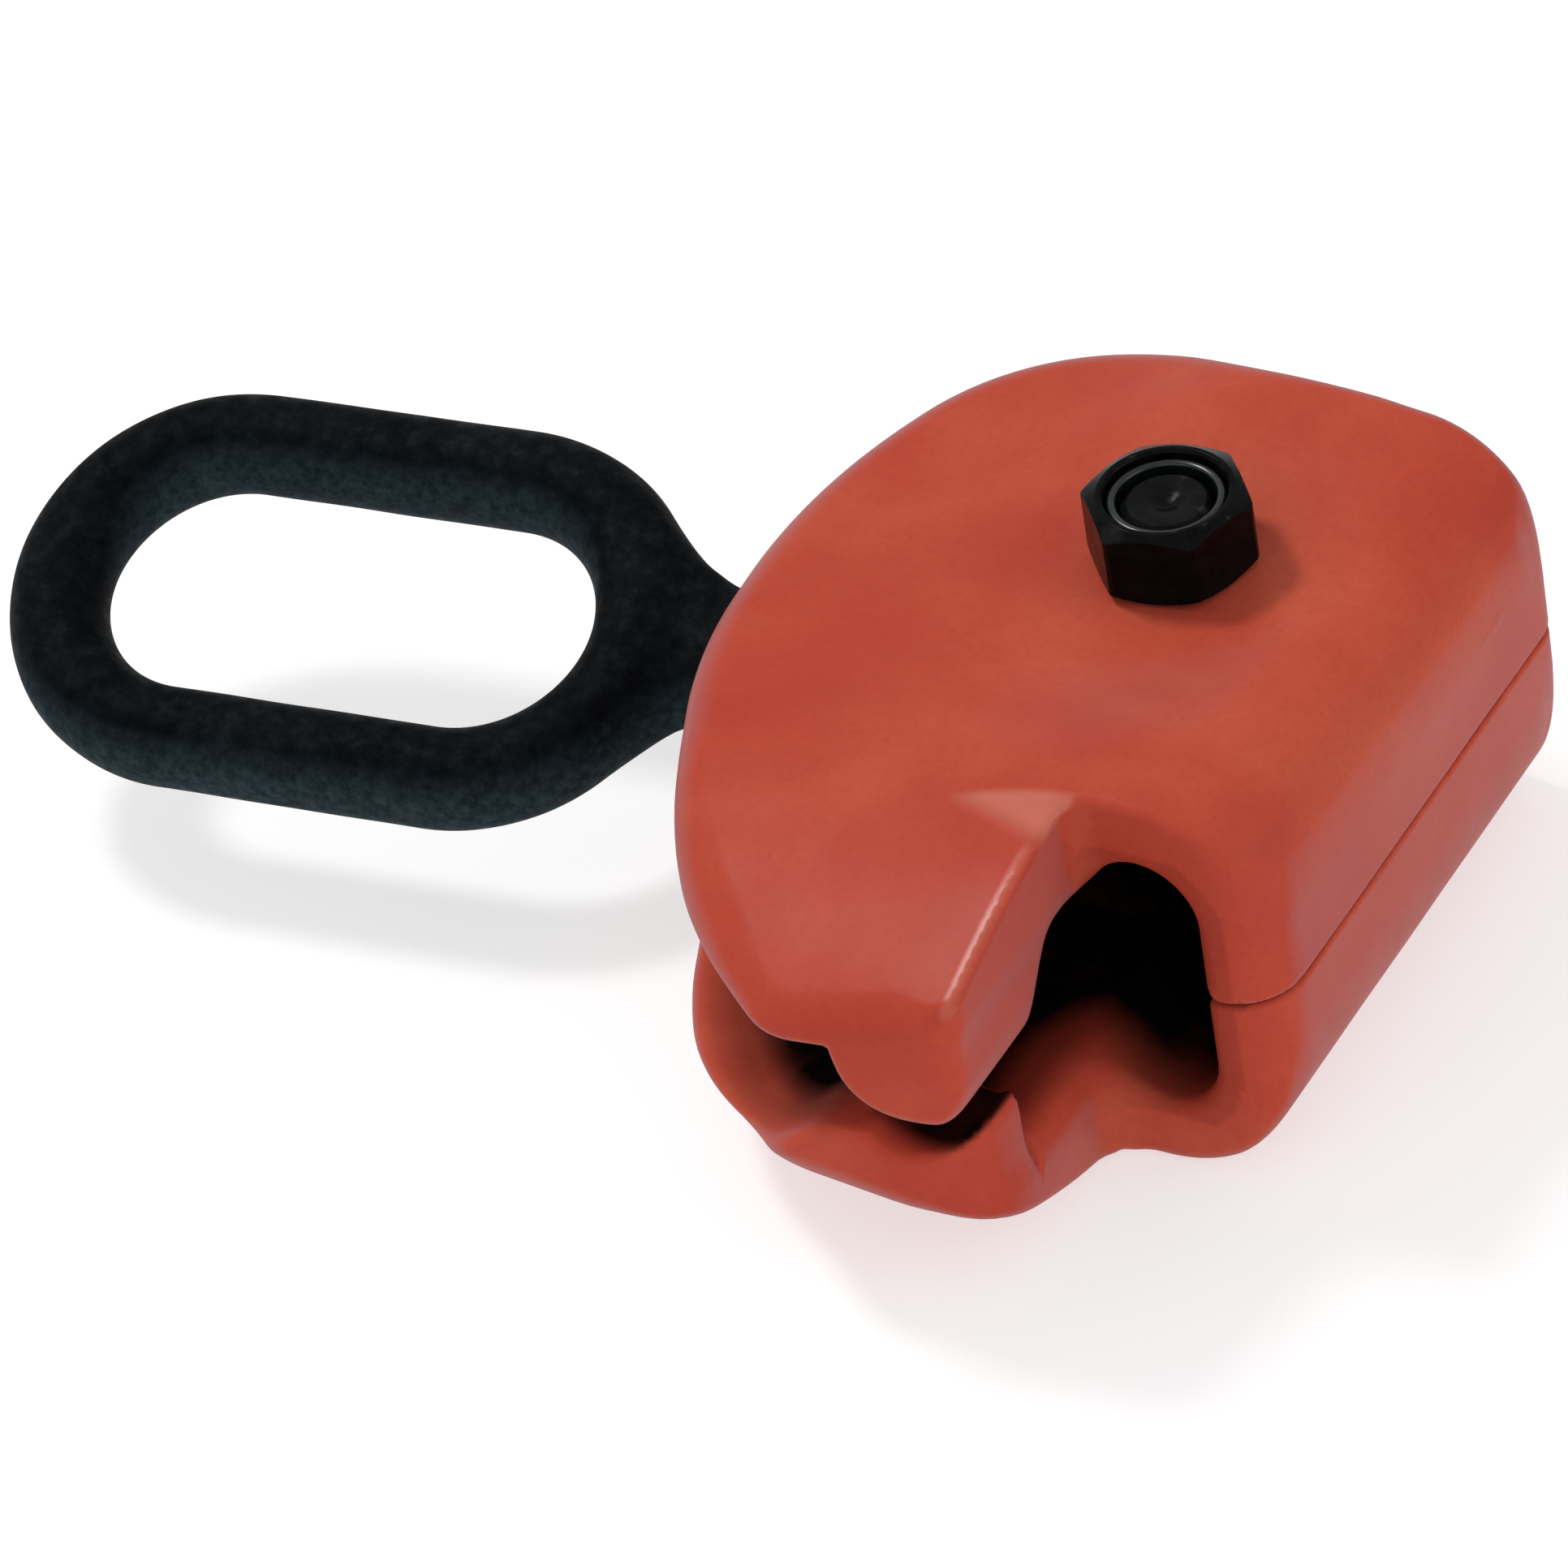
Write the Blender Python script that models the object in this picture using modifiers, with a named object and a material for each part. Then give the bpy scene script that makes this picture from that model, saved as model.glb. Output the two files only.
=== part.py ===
"""Rope grab: two cast half shells, a forged cam lever with an oblong eye, one pivot bolt.

Frame: the pivot axis is the Z axis.  The rope channel runs along Y, +Y is up in use.
+X points at the closed spine, -X at the lever eye.  z = 0 is the outer face of the
bolt head, and the parting plane of the two shells is z = Z_PART.
"Upper" is +Z and "lower" is -Z; "near" is -Y and "far" is +Y.
Sizes are in millimetres and directions in degrees anticlockwise from +X; helpers
turn millimetres into metres.
"""
import math

import bmesh
import bpy
from mathutils import Matrix, Vector

MM = 0.001
UPPER, LOWER = 1, -1           # side of the parting plane, and the sign of Z on it

# ---------------------------------------------------------------- shells
Z_PART = 25.0                  # parting plane above the bolt head face
SPLIT = 0.15                   # half of the gap between the shells
GAP = 11.3                     # half height of the lever gap
GAP_OVERRUN = 4.0              # how far each gap cutter passes the parting plane
GAP_INNER_X = 12.5             # +X end of the lever gap, inside the rope channel
GAP_CORNER_R = 4.0
GAP_CORNER = {UPPER: (-5.2, -60.5), LOWER: (-5.2, -66.5)}   # where the near boss meets the gap
SPINE_X = 34.6                 # outer side of the spine
SPINE_Y0 = -47.2               # near end of the spine
SPINE_Y1 = 31.7                # far end of the spine
LOBE_X = 10.4                  # +X side of the near lobes
LOBE_Y = -79.4                 # tip of the near lobes
SHELL_CENTRE = (-4.0, -16.0)   # point the rings of the dome close in on
OUTLINE_STEP = 5.0             # longest edge along the shell outline

CROWN = 28.5                   # spine crown above the parting plane
CROWN_X = 13.0                 # where the dome starts to fall towards -X
RIM_DROP = {UPPER: 7.7, LOWER: 9.2}      # fall of the dome from the crown to the -X side
DOME_LENGTH = {UPPER: 41.2, LOWER: 40.4} # length over which the dome falls
LOBE_DROP = {UPPER: 9.0, LOWER: 13.6}    # fall of the near lobes over LOBE_RUN
LOBE_RUN = 34.0
FALL_POWER = 1.5               # how gently the dome and the lobes start to fall
SIDE_R = {UPPER: 15.6, LOWER: 18.4}      # fillet from crown to spine side
DISH_DEPTH = 2.2               # shallow dish round the pivot
DISH_R = 24.0
FACET_SET_IN = 0.2             # start of the upper lobe's flat below the crown
FACET_SLOPE = 0.42             # its fall towards -Y
FACET_TILT = 0.09              # its fall towards -X
FACET_CURL = 0.012             # its rise beyond FACET_CURL_X, by the square of the distance
FACET_CURL_X = -6.0
FACET_MIN = GAP + 2.3          # its least height, which leaves a 2.3 rim over the lever gap

EDGE_STEPS = 5                 # steps round the top edge
EDGE_R = 3.0                   # top edge radius on the spine side
EDGE_GROW = 2.2                # growth of that radius towards -X
EDGE_GROW_X = 10.0             # where the growth starts
EDGE_GROW_RUN = 30.0           # length over which it grows
RIDGE_EDGE_R = 1.8             # top edge radius on the +X side of the lobe
ARCH_EDGE_R = 2.6              # top edge radius at the spine's near end

# Shares of the way from the top edge to SHELL_CENTRE at which the dome has a ring
DOME_RINGS = (0.05, 0.10, 0.16, 0.24, 0.34, 0.46, 0.60, 0.76, 0.90)

CHANNEL_X1 = 25.0              # back wall of the rope channel
CHANNEL_X0 = 10.6              # open side of the rope channel
CHANNEL_H = 18.7               # half height of the rope channel
CHANNEL_SPRING = 10.8          # height at which its round top starts
CHANNEL_OPEN_H = 9.0           # height at which the top meets the open side
CHANNEL_OVERRUN = 2.0          # how far its cutter passes the parting plane
CHANNEL_REACH = 60.0           # half length of its cutter

KNOB_X, KNOB_HEIGHT, KNOB_R = 2.9, 8.3, 7.5    # knob on the upper boss, above the parting plane
KNOB_Y = (-77.8, -61.2)
CUP_X, CUP_HEIGHT, CUP_R = 3.3, 3.5, 7.9       # cup in the lower boss, under the knob
CUP_Y = (-86.0, -60.0)

# ---------------------------------------------------------------- pivot, pins and spring
BOLT_R = 5.9
BOLT_HOLE_R = 6.3
BOLT_CHAMFER = 0.8
BOLT_BELOW_NUT = 1.6           # bolt end below the outer face of the nut
CUT_Z = (-10, 70)              # Z range that passes right through both shells
HEX_AF = 19.0                  # across flats, bolt head and nut
HEX_CHAMFER_IN = 0.4           # chamfer circle inside the flats
HEX_CHAMFER_ANGLE = 30
HEAD_H = 7.5
HEAD_RECESS_PLAY = 0.7         # across flats
NUT_SEAT = 49.6
NUT_SEAT_R = 12.2
NUT_H = 10.8
NUT_TURN = 12.8                # direction of one of the nut's corners
NUT_BORE_R = BOLT_R + 0.3
NUT_POCKET_R = 7.7
NUT_POCKET_DEPTH = 3.6
INSERT_R = 7.4
INSERT_H = 2.4
INSERT_DEPTH = 3.3             # insert foot below the outer face of the nut
PLAY = 0.3                     # clearance between neighbouring parts
SLEEVE_R = 7.3
SLEEVE_BORE = 6.25             # radius
WASHER_R = 11.9
RING_CHAMFER = 0.3             # sleeve, washers and insert

DOWEL_R = 2.0
DOWEL_X = 30.6
DOWEL_Y = {"near": -36.0, "far": 22.0}
DOWEL_HALF = 8.0               # half length
DOWEL_HOLE_EXTRA = 0.4         # hole beyond each end of the dowel

SPRING_PIN_R = 1.3
SPRING_PIN_AT = (13.4, 118.0)  # radius and direction of the spring's anchor pin
SPRING_PIN_DEPTH = 5.0         # depth below the floor of the lever gap
WIRE_R = 0.55
COIL_R = 9.2
COIL_Z = (-9.15, -6.85)        # coil, from the parting plane
COIL_TURNS = 1.75
COIL_STEPS = 44
LEG_DIR = 200.0                # direction of the leg that enters the lever
LEG_RISE = 3.6                 # how far that leg enters the hub
TAIL_LENGTHS = (3.0, 9.0)      # points along the straight tail

# ---------------------------------------------------------------- cam lever
HUB_BORE = 7.6                 # radius
HUB_Z = (-6.0, 9.4)            # lever hub, from the parting plane
CAM_R0 = 9.4                   # cam radius facing the rope with the lever at rest
CAM_GROW = 9.5                 # growth of the cam radius over CAM_SPAN, towards -Y
CAM_SPAN = 60.0
CAM_BACK_GROW = 3.4            # growth over CAM_BACK_SPAN the other way
CAM_BACK_SPAN = 100.0
TOOTH_DEPTH = 0.7
TOOTH_PITCH = 1.7              # along the cam face
TOOTH_ROOT = 0.45              # place of the root within the pitch
TEETH_END = 8.0                # direction where the teeth stop
BACK_END = 150.0               # direction where the plain back stops
BACK_STEP = 7.5
HEEL_R = 14.0
HEEL_START = 232.0             # direction where the heel starts
HEEL_STEPS = 8
HEEL_POWER = 1.3
SHANK_HALF = 5.8               # half thickness
SHANK_BEVEL = 4.4
EYE_DIST = 113.0               # pivot to eye centre
EYE_DIR = 189.7                # direction of the lever from the pivot
EYE_LONG = 187.5               # direction of the eye's long axis
EYE_BEND_R = 21.8              # radius of the eye's bar centreline
EYE_STRAIGHT = 36.1            # straight length of the eye
EYE_BEND_POINTS = 18
BAR_R = 6.55
EYE_TWIST = 20.0               # the eye is turned about its long axis

# Lever shank, anticlockwise: distance along it from the pivot, distance across it
# towards the near side, corner radius, arc steps
SHANK = [
    (0.0, -12.4, 5, 3), (18.0, -11.0, 20, 3), (44.0, -8.0, 30, 3), (61.5, -7.6, 10, 3),
    (74.0, -13.6, 0, 0), (75.5, 0.0, 0, 0), (74.0, 13.4, 0, 0), (61.5, 8.4, 12, 3),
    (44.0, 8.0, 30, 3), (18.0, 11.5, 20, 3), (0.0, 12.4, 5, 3),
]

# ---------------------------------------------------------------- scene and materials
for old in list(bpy.data.objects):
    bpy.data.objects.remove(old, do_unlink=True)

parts = bpy.data.collections.new("rope_grab")
cutters = bpy.data.collections.new("cutters")
bpy.context.scene.collection.children.link(parts)
bpy.context.scene.collection.children.link(cutters)


def material(name, colour, roughness, metallic):
    mat = bpy.data.materials.new(name)
    mat.use_nodes = True
    inputs = mat.node_tree.nodes["Principled BSDF"].inputs
    inputs["Base Color"].default_value = (*colour, 1.0)
    inputs["Roughness"].default_value = roughness
    inputs["Metallic"].default_value = metallic
    mat.diffuse_color = (*colour, 1.0)
    return mat


RED = (0.50, 0.09, 0.055)
RED_UPPER = material("red_paint_upper", colour=RED, roughness=0.42, metallic=0.0)
RED_LOWER = material("red_paint_lower", colour=RED, roughness=0.45, metallic=0.0)
BLACK_FORGING = material("black_forging", colour=(0.006, 0.007, 0.009),
                         roughness=0.6, metallic=0.3)
BLACK_NUT = material("black_oxide_nut", colour=(0.008, 0.009, 0.011),
                     roughness=0.35, metallic=0.6)
BLACK_BOLT = material("black_oxide_bolt", colour=(0.01, 0.011, 0.013),
                      roughness=0.4, metallic=0.6)
NYLON = material("nylon_insert", colour=(0.03, 0.045, 0.05), roughness=0.45, metallic=0.0)
BRONZE = material("bronze_sleeve", colour=(0.45, 0.28, 0.12), roughness=0.35, metallic=1.0)
ZINC = material("zinc_washer", colour=(0.5, 0.5, 0.48), roughness=0.35, metallic=1.0)
SPRING_STEEL = material("spring_wire", colour=(0.35, 0.35, 0.35), roughness=0.3, metallic=1.0)
PIN_STEEL = material("ground_steel_pin", colour=(0.55, 0.55, 0.55),
                     roughness=0.25, metallic=1.0)


# ---------------------------------------------------------------- object helpers
def new_object(name, data, collection):
    ob = bpy.data.objects.new(name, data)
    collection.objects.link(ob)
    if collection is cutters:
        ob.hide_render = True
        ob.display_type = 'WIRE'
    return ob


def shade(mesh):
    mesh.shade_smooth()
    mesh.set_sharp_from_angle(angle=math.radians(35))


def from_bmesh(name, bm, collection, mat=None):
    bmesh.ops.recalc_face_normals(bm, faces=bm.faces)
    mesh = bpy.data.meshes.new(name)
    bm.to_mesh(mesh)
    bm.free()
    if mat:
        mesh.materials.append(mat)
    shade(mesh)
    return new_object(name, mesh, collection)


def cylinder(name, radius, start, end, collection, at=(0.0, 0.0), segments=48, mat=None,
             chamfer=0.0, axis='Z'):
    """Cylinder along Z, with `at` its (x, y), or along Y, with `at` its (x, z)."""
    length = (end - start) * MM
    bm = bmesh.new()
    bmesh.ops.create_cone(bm, cap_ends=True, segments=segments, radius1=radius * MM,
                          radius2=radius * MM, depth=length)
    if chamfer:
        rims = [e for e in bm.edges if abs(abs(e.verts[0].co.z) - length / 2) < 1e-7
                and abs(e.verts[0].co.z - e.verts[1].co.z) < 1e-7]
        bmesh.ops.bevel(bm, geom=rims, offset=chamfer * MM, segments=1, affect='EDGES')
    ob = from_bmesh(name, bm, collection, mat)
    middle = (start + end) / 2
    if axis == 'Z':
        ob.location = (at[0] * MM, at[1] * MM, middle * MM)
    else:
        ob.rotation_euler = (math.radians(90), 0, 0)
        ob.location = (at[0] * MM, middle * MM, at[1] * MM)
    return ob


def box(name, low, high, bevel=0.0):
    """Box cutter between two opposite corners."""
    bm = bmesh.new()
    bmesh.ops.create_cube(bm, size=1.0)
    size = [(b - a) * MM for a, b in zip(low, high)]
    bmesh.ops.scale(bm, vec=size, verts=bm.verts)
    if bevel:
        bmesh.ops.bevel(bm, geom=list(bm.edges), offset=bevel * MM, segments=2,
                        profile=0.5, affect='EDGES')
    ob = from_bmesh(name, bm, cutters)
    ob.location = [(a + b) / 2 * MM for a, b in zip(low, high)]
    return ob


def poly_curve(name, points, dimensions, closed):
    """Temporary curve object through (x, y, z) points."""
    curve = bpy.data.curves.new(name, 'CURVE')
    curve.dimensions = dimensions
    spline = curve.splines.new('POLY')
    spline.points.add(len(points) - 1)
    for point, (x, y, z) in zip(spline.points, points):
        point.co = (x * MM, y * MM, z * MM, 1.0)
    spline.use_cyclic_u = closed
    return new_object(name, curve, cutters)


def curve_to_mesh(curve_ob, name, collection, mat=None):
    """Replace a curve object by its mesh."""
    bpy.context.view_layer.update()
    depsgraph = bpy.context.evaluated_depsgraph_get()
    raw = bpy.data.meshes.new_from_object(curve_ob.evaluated_get(depsgraph))
    bm = bmesh.new()
    bm.from_mesh(raw)
    bmesh.ops.remove_doubles(bm, verts=bm.verts, dist=1e-6)
    ob = from_bmesh(name, bm, collection, mat)
    ob.matrix_world = curve_ob.matrix_world
    bpy.data.objects.remove(curve_ob, do_unlink=True)
    bpy.data.meshes.remove(raw)
    return ob


def prism(name, points, z0, z1, collection, mat=None):
    """Flat (x, y) outline filled and extruded from z0 to z1."""
    flat = [(x, y, 0.0) for x, y in points]
    curve_ob = poly_curve(name + "_outline", flat, '2D', closed=True)
    curve_ob.data.fill_mode = 'BOTH'
    curve_ob.data.extrude = (z1 - z0) / 2 * MM
    curve_ob.location = (0, 0, (z0 + z1) / 2 * MM)
    return curve_to_mesh(curve_ob, name, collection, mat)


def bent_bar(name, points, radius, resolution, closed, collection, mat=None):
    """Round bar along (x, y, z) points; an open bar gets end caps."""
    curve_ob = poly_curve(name + "_path", points, '3D', closed)
    curve_ob.data.bevel_depth = radius * MM
    curve_ob.data.bevel_resolution = resolution
    curve_ob.data.use_fill_caps = not closed
    return curve_to_mesh(curve_ob, name, collection, mat)


def turned(name, profile, closed, steps, collection):
    """(radius, height) profile swept about Z by a Screw modifier."""
    bm = bmesh.new()
    verts = [bm.verts.new((radius * MM, 0, height * MM)) for radius, height in profile]
    following = verts[1:] + verts[:1] if closed else verts[1:]
    for a, b in zip(verts, following):
        bm.edges.new((a, b))
    mesh = bpy.data.meshes.new(name)
    bm.to_mesh(mesh)
    bm.free()
    ob = new_object(name, mesh, collection)
    screw = ob.modifiers.new("turn", 'SCREW')
    screw.axis = 'Z'
    screw.steps = steps
    screw.render_steps = steps
    screw.use_merge_vertices = True
    screw.merge_threshold = 0.000001
    screw.use_smooth_shade = True
    return ob


def turned_ring(name, profile, mat):
    ob = turned(name, profile[::-1], closed=True, steps=48, collection=parts)
    ob.data.materials.append(mat)
    shade(ob.data)


def boolean(ob, tool, operation='DIFFERENCE'):
    modifier = ob.modifiers.new(operation.lower() + "_" + tool.name, 'BOOLEAN')
    modifier.operation = operation
    modifier.solver = 'EXACT'
    modifier.object = tool


# ---------------------------------------------------------------- outline helpers
def polar(radius, direction):
    angle = math.radians(direction)
    return radius * math.cos(angle), radius * math.sin(angle)


def arc_corner(before, corner, after, radius, steps):
    """Points of the arc that rounds a corner."""
    corner = Vector(corner)
    to_before = (Vector(before) - corner).normalized()
    to_after = (Vector(after) - corner).normalized()
    half = to_before.angle(to_after) / 2
    tangent = radius / math.tan(half)
    centre = corner + (to_before + to_after).normalized() * (radius / math.sin(half))
    first = corner + to_before * tangent - centre
    last = corner + to_after * tangent - centre
    sweep = math.atan2(first.x * last.y - first.y * last.x, first.dot(last))
    points = []
    for k in range(steps + 1):
        angle = sweep * k / steps
        cos, sin = math.cos(angle), math.sin(angle)
        points.append((centre.x + first.x * cos - first.y * sin,
                       centre.y + first.x * sin + first.y * cos))
    return points


def rounded(corners):
    """Closed outline from (x, y, radius, arc steps) corners; radius 0 stays sharp."""
    points = []
    for i, (x, y, radius, steps) in enumerate(corners):
        if radius:
            after = corners[(i + 1) % len(corners)]
            points += arc_corner(corners[i - 1][:2], (x, y), after[:2], radius, steps)
        else:
            points.append((x, y))
    return points


def split_long(points, step):
    """Divide the edges of a closed outline so that none is longer than step."""
    out = []
    for a, b in zip(points, points[1:] + points[:1]):
        count = max(1, int(math.ceil(math.dist(a, b) / step)))
        out += [(a[0] + (b[0] - a[0]) * j / count, a[1] + (b[1] - a[1]) * j / count)
                for j in range(count)]
    return out


# ---------------------------------------------------------------- shell form
def shell_outline(side):
    """x, y, corner radius, arc steps; anticlockwise.  The lower shell is a little fuller."""
    low = 0.0 if side == UPPER else 1.0
    return [
        (SPINE_X, SPINE_Y0, 8.0, 5),
        (SPINE_X, SPINE_Y1, 4.5, 5),
        (-5.9, SPINE_Y1 + 4.5, 75.0, 3),
        (-38.0, SPINE_Y1 + 11.1, 30.0, 8),
        (-54.2, 1.8, 76.0, 4),
        (-51.9 - 1.3 * low, -30.2 - 0.8 * low, 62.0, 4),
        (-36.5 - 2.0 * low, -65.9 - 1.2 * low, 62.0, 4),
        (-14.3 - 1.6 * low, -82.9 - 0.3 * low, 9.0 - low, 3),
        (LOBE_X, LOBE_Y, 4.5 + 5.0 * low, 5),
        (LOBE_X, SPINE_Y0, 3.5 + 2.0 * low, 4),
    ]


def dome_height(x, y, side):
    """Height above the parting plane, before the edges are rounded."""
    run = max(0.0, CROWN_X - x) / DOME_LENGTH[side]
    height = CROWN - RIM_DROP[side] * (1.0 - math.exp(-run ** FALL_POWER))
    height -= DISH_DEPTH * math.exp(-(x * x + y * y) / DISH_R ** 2)
    lobe_run = max(0.0, SPINE_Y0 + 1.0 - y) / LOBE_RUN
    height -= LOBE_DROP[side] * lobe_run ** FALL_POWER
    if side == UPPER:                 # the upper lobe is dressed back to a flat facet
        facet = (CROWN - FACET_SET_IN - FACET_SLOPE * (SPINE_Y0 - y)
                 - FACET_TILT * (LOBE_X - x)
                 + FACET_CURL * max(0.0, FACET_CURL_X - x) ** 2)
        height = min(height, max(FACET_MIN, facet))
    inset = SPINE_X - x
    fillet = SIDE_R[side]
    if inset < fillet:
        height -= fillet - math.sqrt(max(0.0, fillet ** 2 - (fillet - max(inset, 0.0)) ** 2))
    return height


def edge_radius(x, y):
    """Small radius along the top edge of the shell."""
    if x > LOBE_X - 1.0 and y < SPINE_Y0 - 0.5:
        return RIDGE_EDGE_R
    if x > LOBE_X - 1.0 and y < SPINE_Y0 + 0.5:
        return ARCH_EDGE_R
    if x > SPINE_X - 0.6:
        return EDGE_R
    return EDGE_R + EDGE_GROW * min(1.0, max(0.0, (EDGE_GROW_X - x) / EDGE_GROW_RUN))


def shell_blank(name, side, mat):
    """Solid half body: base by the parting plane, walls, rounded edge, dome."""
    border = split_long(rounded(shell_outline(side)), OUTLINE_STEP)
    count = len(border)
    base = [(x, y, SPLIT) for x, y in border]
    arcs = [[] for _ in range(EDGE_STEPS)]
    rim = []
    for i, (x, y) in enumerate(border):
        along = (Vector(border[(i + 1) % count]) - Vector(border[i - 1])).normalized()
        inward_x, inward_y = -along.y, along.x
        radius = edge_radius(x, y)
        for k, arc in enumerate(arcs):
            angle = math.radians(90.0 * k / EDGE_STEPS)
            inset = radius * (1 - math.cos(angle))
            px, py = x + inward_x * inset, y + inward_y * inset
            arc.append((px, py, dome_height(px, py, side) - radius * (1 - math.sin(angle))))
        px, py = x + inward_x * radius, y + inward_y * radius
        rim.append((px, py, dome_height(px, py, side)))
    loops = [base] + arcs + [rim]
    centre_x, centre_y = SHELL_CENTRE
    for share in DOME_RINGS:
        ring = []
        for x, y, _ in rim:
            px = x + (centre_x - x) * share
            py = y + (centre_y - y) * share
            ring.append((px, py, dome_height(px, py, side)))
        loops.append(ring)

    bm = bmesh.new()

    def vert(x, y, z):
        return bm.verts.new((x * MM, y * MM, (Z_PART + side * z) * MM))

    rows = [[vert(*point) for point in loop] for loop in loops]
    for outer, inner in zip(rows, rows[1:]):
        for i in range(count):
            j = (i + 1) % count
            bm.faces.new((outer[i], outer[j], inner[j], inner[i]))
    bm.faces.new(rows[0])
    tip = vert(centre_x, centre_y, dome_height(centre_x, centre_y, side))
    for i in range(count):
        bm.faces.new((rows[-1][i], rows[-1][(i + 1) % count], tip))
    return from_bmesh(name, bm, parts, mat)


def channel_cutter(name, side):
    """Rope channel: upright back wall, round top, leaning open side."""
    middle_x = (CHANNEL_X1 + CHANNEL_X0) / 2
    section = [(CHANNEL_X1, -CHANNEL_OVERRUN), (CHANNEL_X1, CHANNEL_SPRING)]
    for k in range(1, 12):
        angle = math.radians(15.0 * k)
        section.append((middle_x + (CHANNEL_X1 - middle_x) * math.cos(angle),
                        CHANNEL_SPRING + (CHANNEL_H - CHANNEL_SPRING) * math.sin(angle)))
    section += [(CHANNEL_X0, CHANNEL_OPEN_H), (CHANNEL_X0, -CHANNEL_OVERRUN)]
    ob = prism(name, section, -CHANNEL_REACH, CHANNEL_REACH, cutters)
    # the prism's Z becomes Y, and its Y the height off the parting plane
    ob.data.transform(Matrix(((1, 0, 0, 0), (0, 0, 1, 0), (0, side, 0, Z_PART * MM),
                              (0, 0, 0, 1))))
    if side == UPPER:                 # here the transform mirrors the mesh
        ob.data.flip_normals()
    return ob


def gap_cutter(name, side):
    corner_x, corner_y = GAP_CORNER[side]
    corners = [(GAP_INNER_X, 60.0, 0, 0), (-80.0, 60.0, 0, 0), (-80.0, -100.0, 0, 0),
               (corner_x, -100.0, 0, 0), (corner_x, corner_y, GAP_CORNER_R, 4),
               (GAP_INNER_X, corner_y, 0, 0)]
    z0, z1 = sorted((Z_PART - side * GAP_OVERRUN, Z_PART + side * GAP))
    return prism(name, rounded(corners), z0, z1, cutters)


def cut_common(shell, side, tag):
    """Cuts that both shells share."""
    boolean(shell, gap_cutter(tag + "_lever_gap", side))
    boolean(shell, channel_cutter(tag + "_rope_channel", side))
    boolean(shell, cylinder(tag + "_bolt_hole", BOLT_HOLE_R, *CUT_Z, cutters))
    reach = DOWEL_HALF + DOWEL_HOLE_EXTRA
    for place, y in DOWEL_Y.items():
        boolean(shell, cylinder(tag + "_dowel_hole_" + place, DOWEL_R + 0.3, Z_PART - reach,
                                Z_PART + reach, cutters, at=(DOWEL_X, y), segments=24))


def upper_shell():
    """The upper near boss is cut clear of the lower one and carries a round knob."""
    shell = shell_blank("upper_shell", UPPER, RED_UPPER)
    boolean(shell, box("upper_boss_clear", (-7.4, -90.0, Z_PART - 4.0),
                       (12.0, -60.0, Z_PART + 7.2)))
    boolean(shell, cylinder("upper_boss_knob", KNOB_R, *KNOB_Y, cutters,
                            at=(KNOB_X, Z_PART + KNOB_HEIGHT), segments=56, chamfer=1.0,
                            axis='Y'), 'UNION')
    cut_common(shell, UPPER, "upper")
    boolean(shell, cylinder("nut_seat", NUT_SEAT_R, NUT_SEAT - 0.3, CUT_Z[1], cutters,
                            segments=64))


def lower_shell():
    """The lower near boss passes the parting plane and has a round cup below the knob."""
    shell = shell_blank("lower_shell", LOWER, RED_LOWER)
    boolean(shell, box("lower_boss_lift", (-4.4, -78.0, Z_PART - 6.0),
                       (9.0, -67.3, Z_PART + 0.6), bevel=1.0), 'UNION')
    boolean(shell, cylinder("lower_boss_cup", CUP_R, *CUP_Y, cutters,
                            at=(CUP_X, Z_PART + CUP_HEIGHT), segments=56, axis='Y'))
    cut_common(shell, LOWER, "lower")
    boolean(shell, cylinder("head_recess", (HEX_AF + HEAD_RECESS_PLAY) / math.sqrt(3),
                            CUT_Z[0], HEAD_H + 0.3, cutters, segments=6))
    floor = Z_PART - GAP
    boolean(shell, cylinder("spring_pin_hole", SPRING_PIN_R + 0.3,
                            floor - SPRING_PIN_DEPTH - 0.3, floor + 2, cutters,
                            at=polar(*SPRING_PIN_AT), segments=20))


# ---------------------------------------------------------------- pins
def pins():
    for place, y in DOWEL_Y.items():
        cylinder("dowel_pin_" + place, DOWEL_R, Z_PART - DOWEL_HALF, Z_PART + DOWEL_HALF,
                 parts, at=(DOWEL_X, y), segments=28, mat=PIN_STEEL, chamfer=0.4)
    cylinder("spring_pin", SPRING_PIN_R, Z_PART - GAP - SPRING_PIN_DEPTH,
             Z_PART + HUB_Z[0] - 0.4, parts, at=polar(*SPRING_PIN_AT), segments=24,
             mat=PIN_STEEL, chamfer=0.25)


# ---------------------------------------------------------------- bolt, nut and rings
def hex_block(name, z0, z1, chamfer_top, mat):
    """Hexagon whose corners a turned profile cuts back, always below and if asked above."""
    corner_r = HEX_AF / math.sqrt(3)
    ob = cylinder(name, corner_r, z0, z1, parts, segments=6, mat=mat)
    height = z1 - z0
    face_r = HEX_AF / 2 - HEX_CHAMFER_IN
    rise = (corner_r - face_r) * math.tan(math.radians(HEX_CHAMFER_ANGLE)) + 0.12
    if chamfer_top:
        profile = [(0.0, height), (face_r, height), (corner_r + 0.2, height - rise)]
    else:
        profile = [(0.0, height), (corner_r + 1, height)]
    profile += [(corner_r + 0.2, rise), (face_r, 0.0), (0.0, 0.0)]
    tool = turned(name + "_chamfer", profile, closed=False, steps=60, collection=cutters)
    tool.location = (0, 0, z0 * MM)
    boolean(ob, tool, 'INTERSECT')
    return ob


def pivot_bolt():
    bolt = hex_block("pivot_bolt", 0.0, HEAD_H, False, BLACK_BOLT)
    boolean(bolt, cylinder("bolt_shank", BOLT_R, HEAD_H - 1.0, NUT_SEAT + NUT_H - BOLT_BELOW_NUT,
                           cutters, chamfer=BOLT_CHAMFER), 'UNION')


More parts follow.
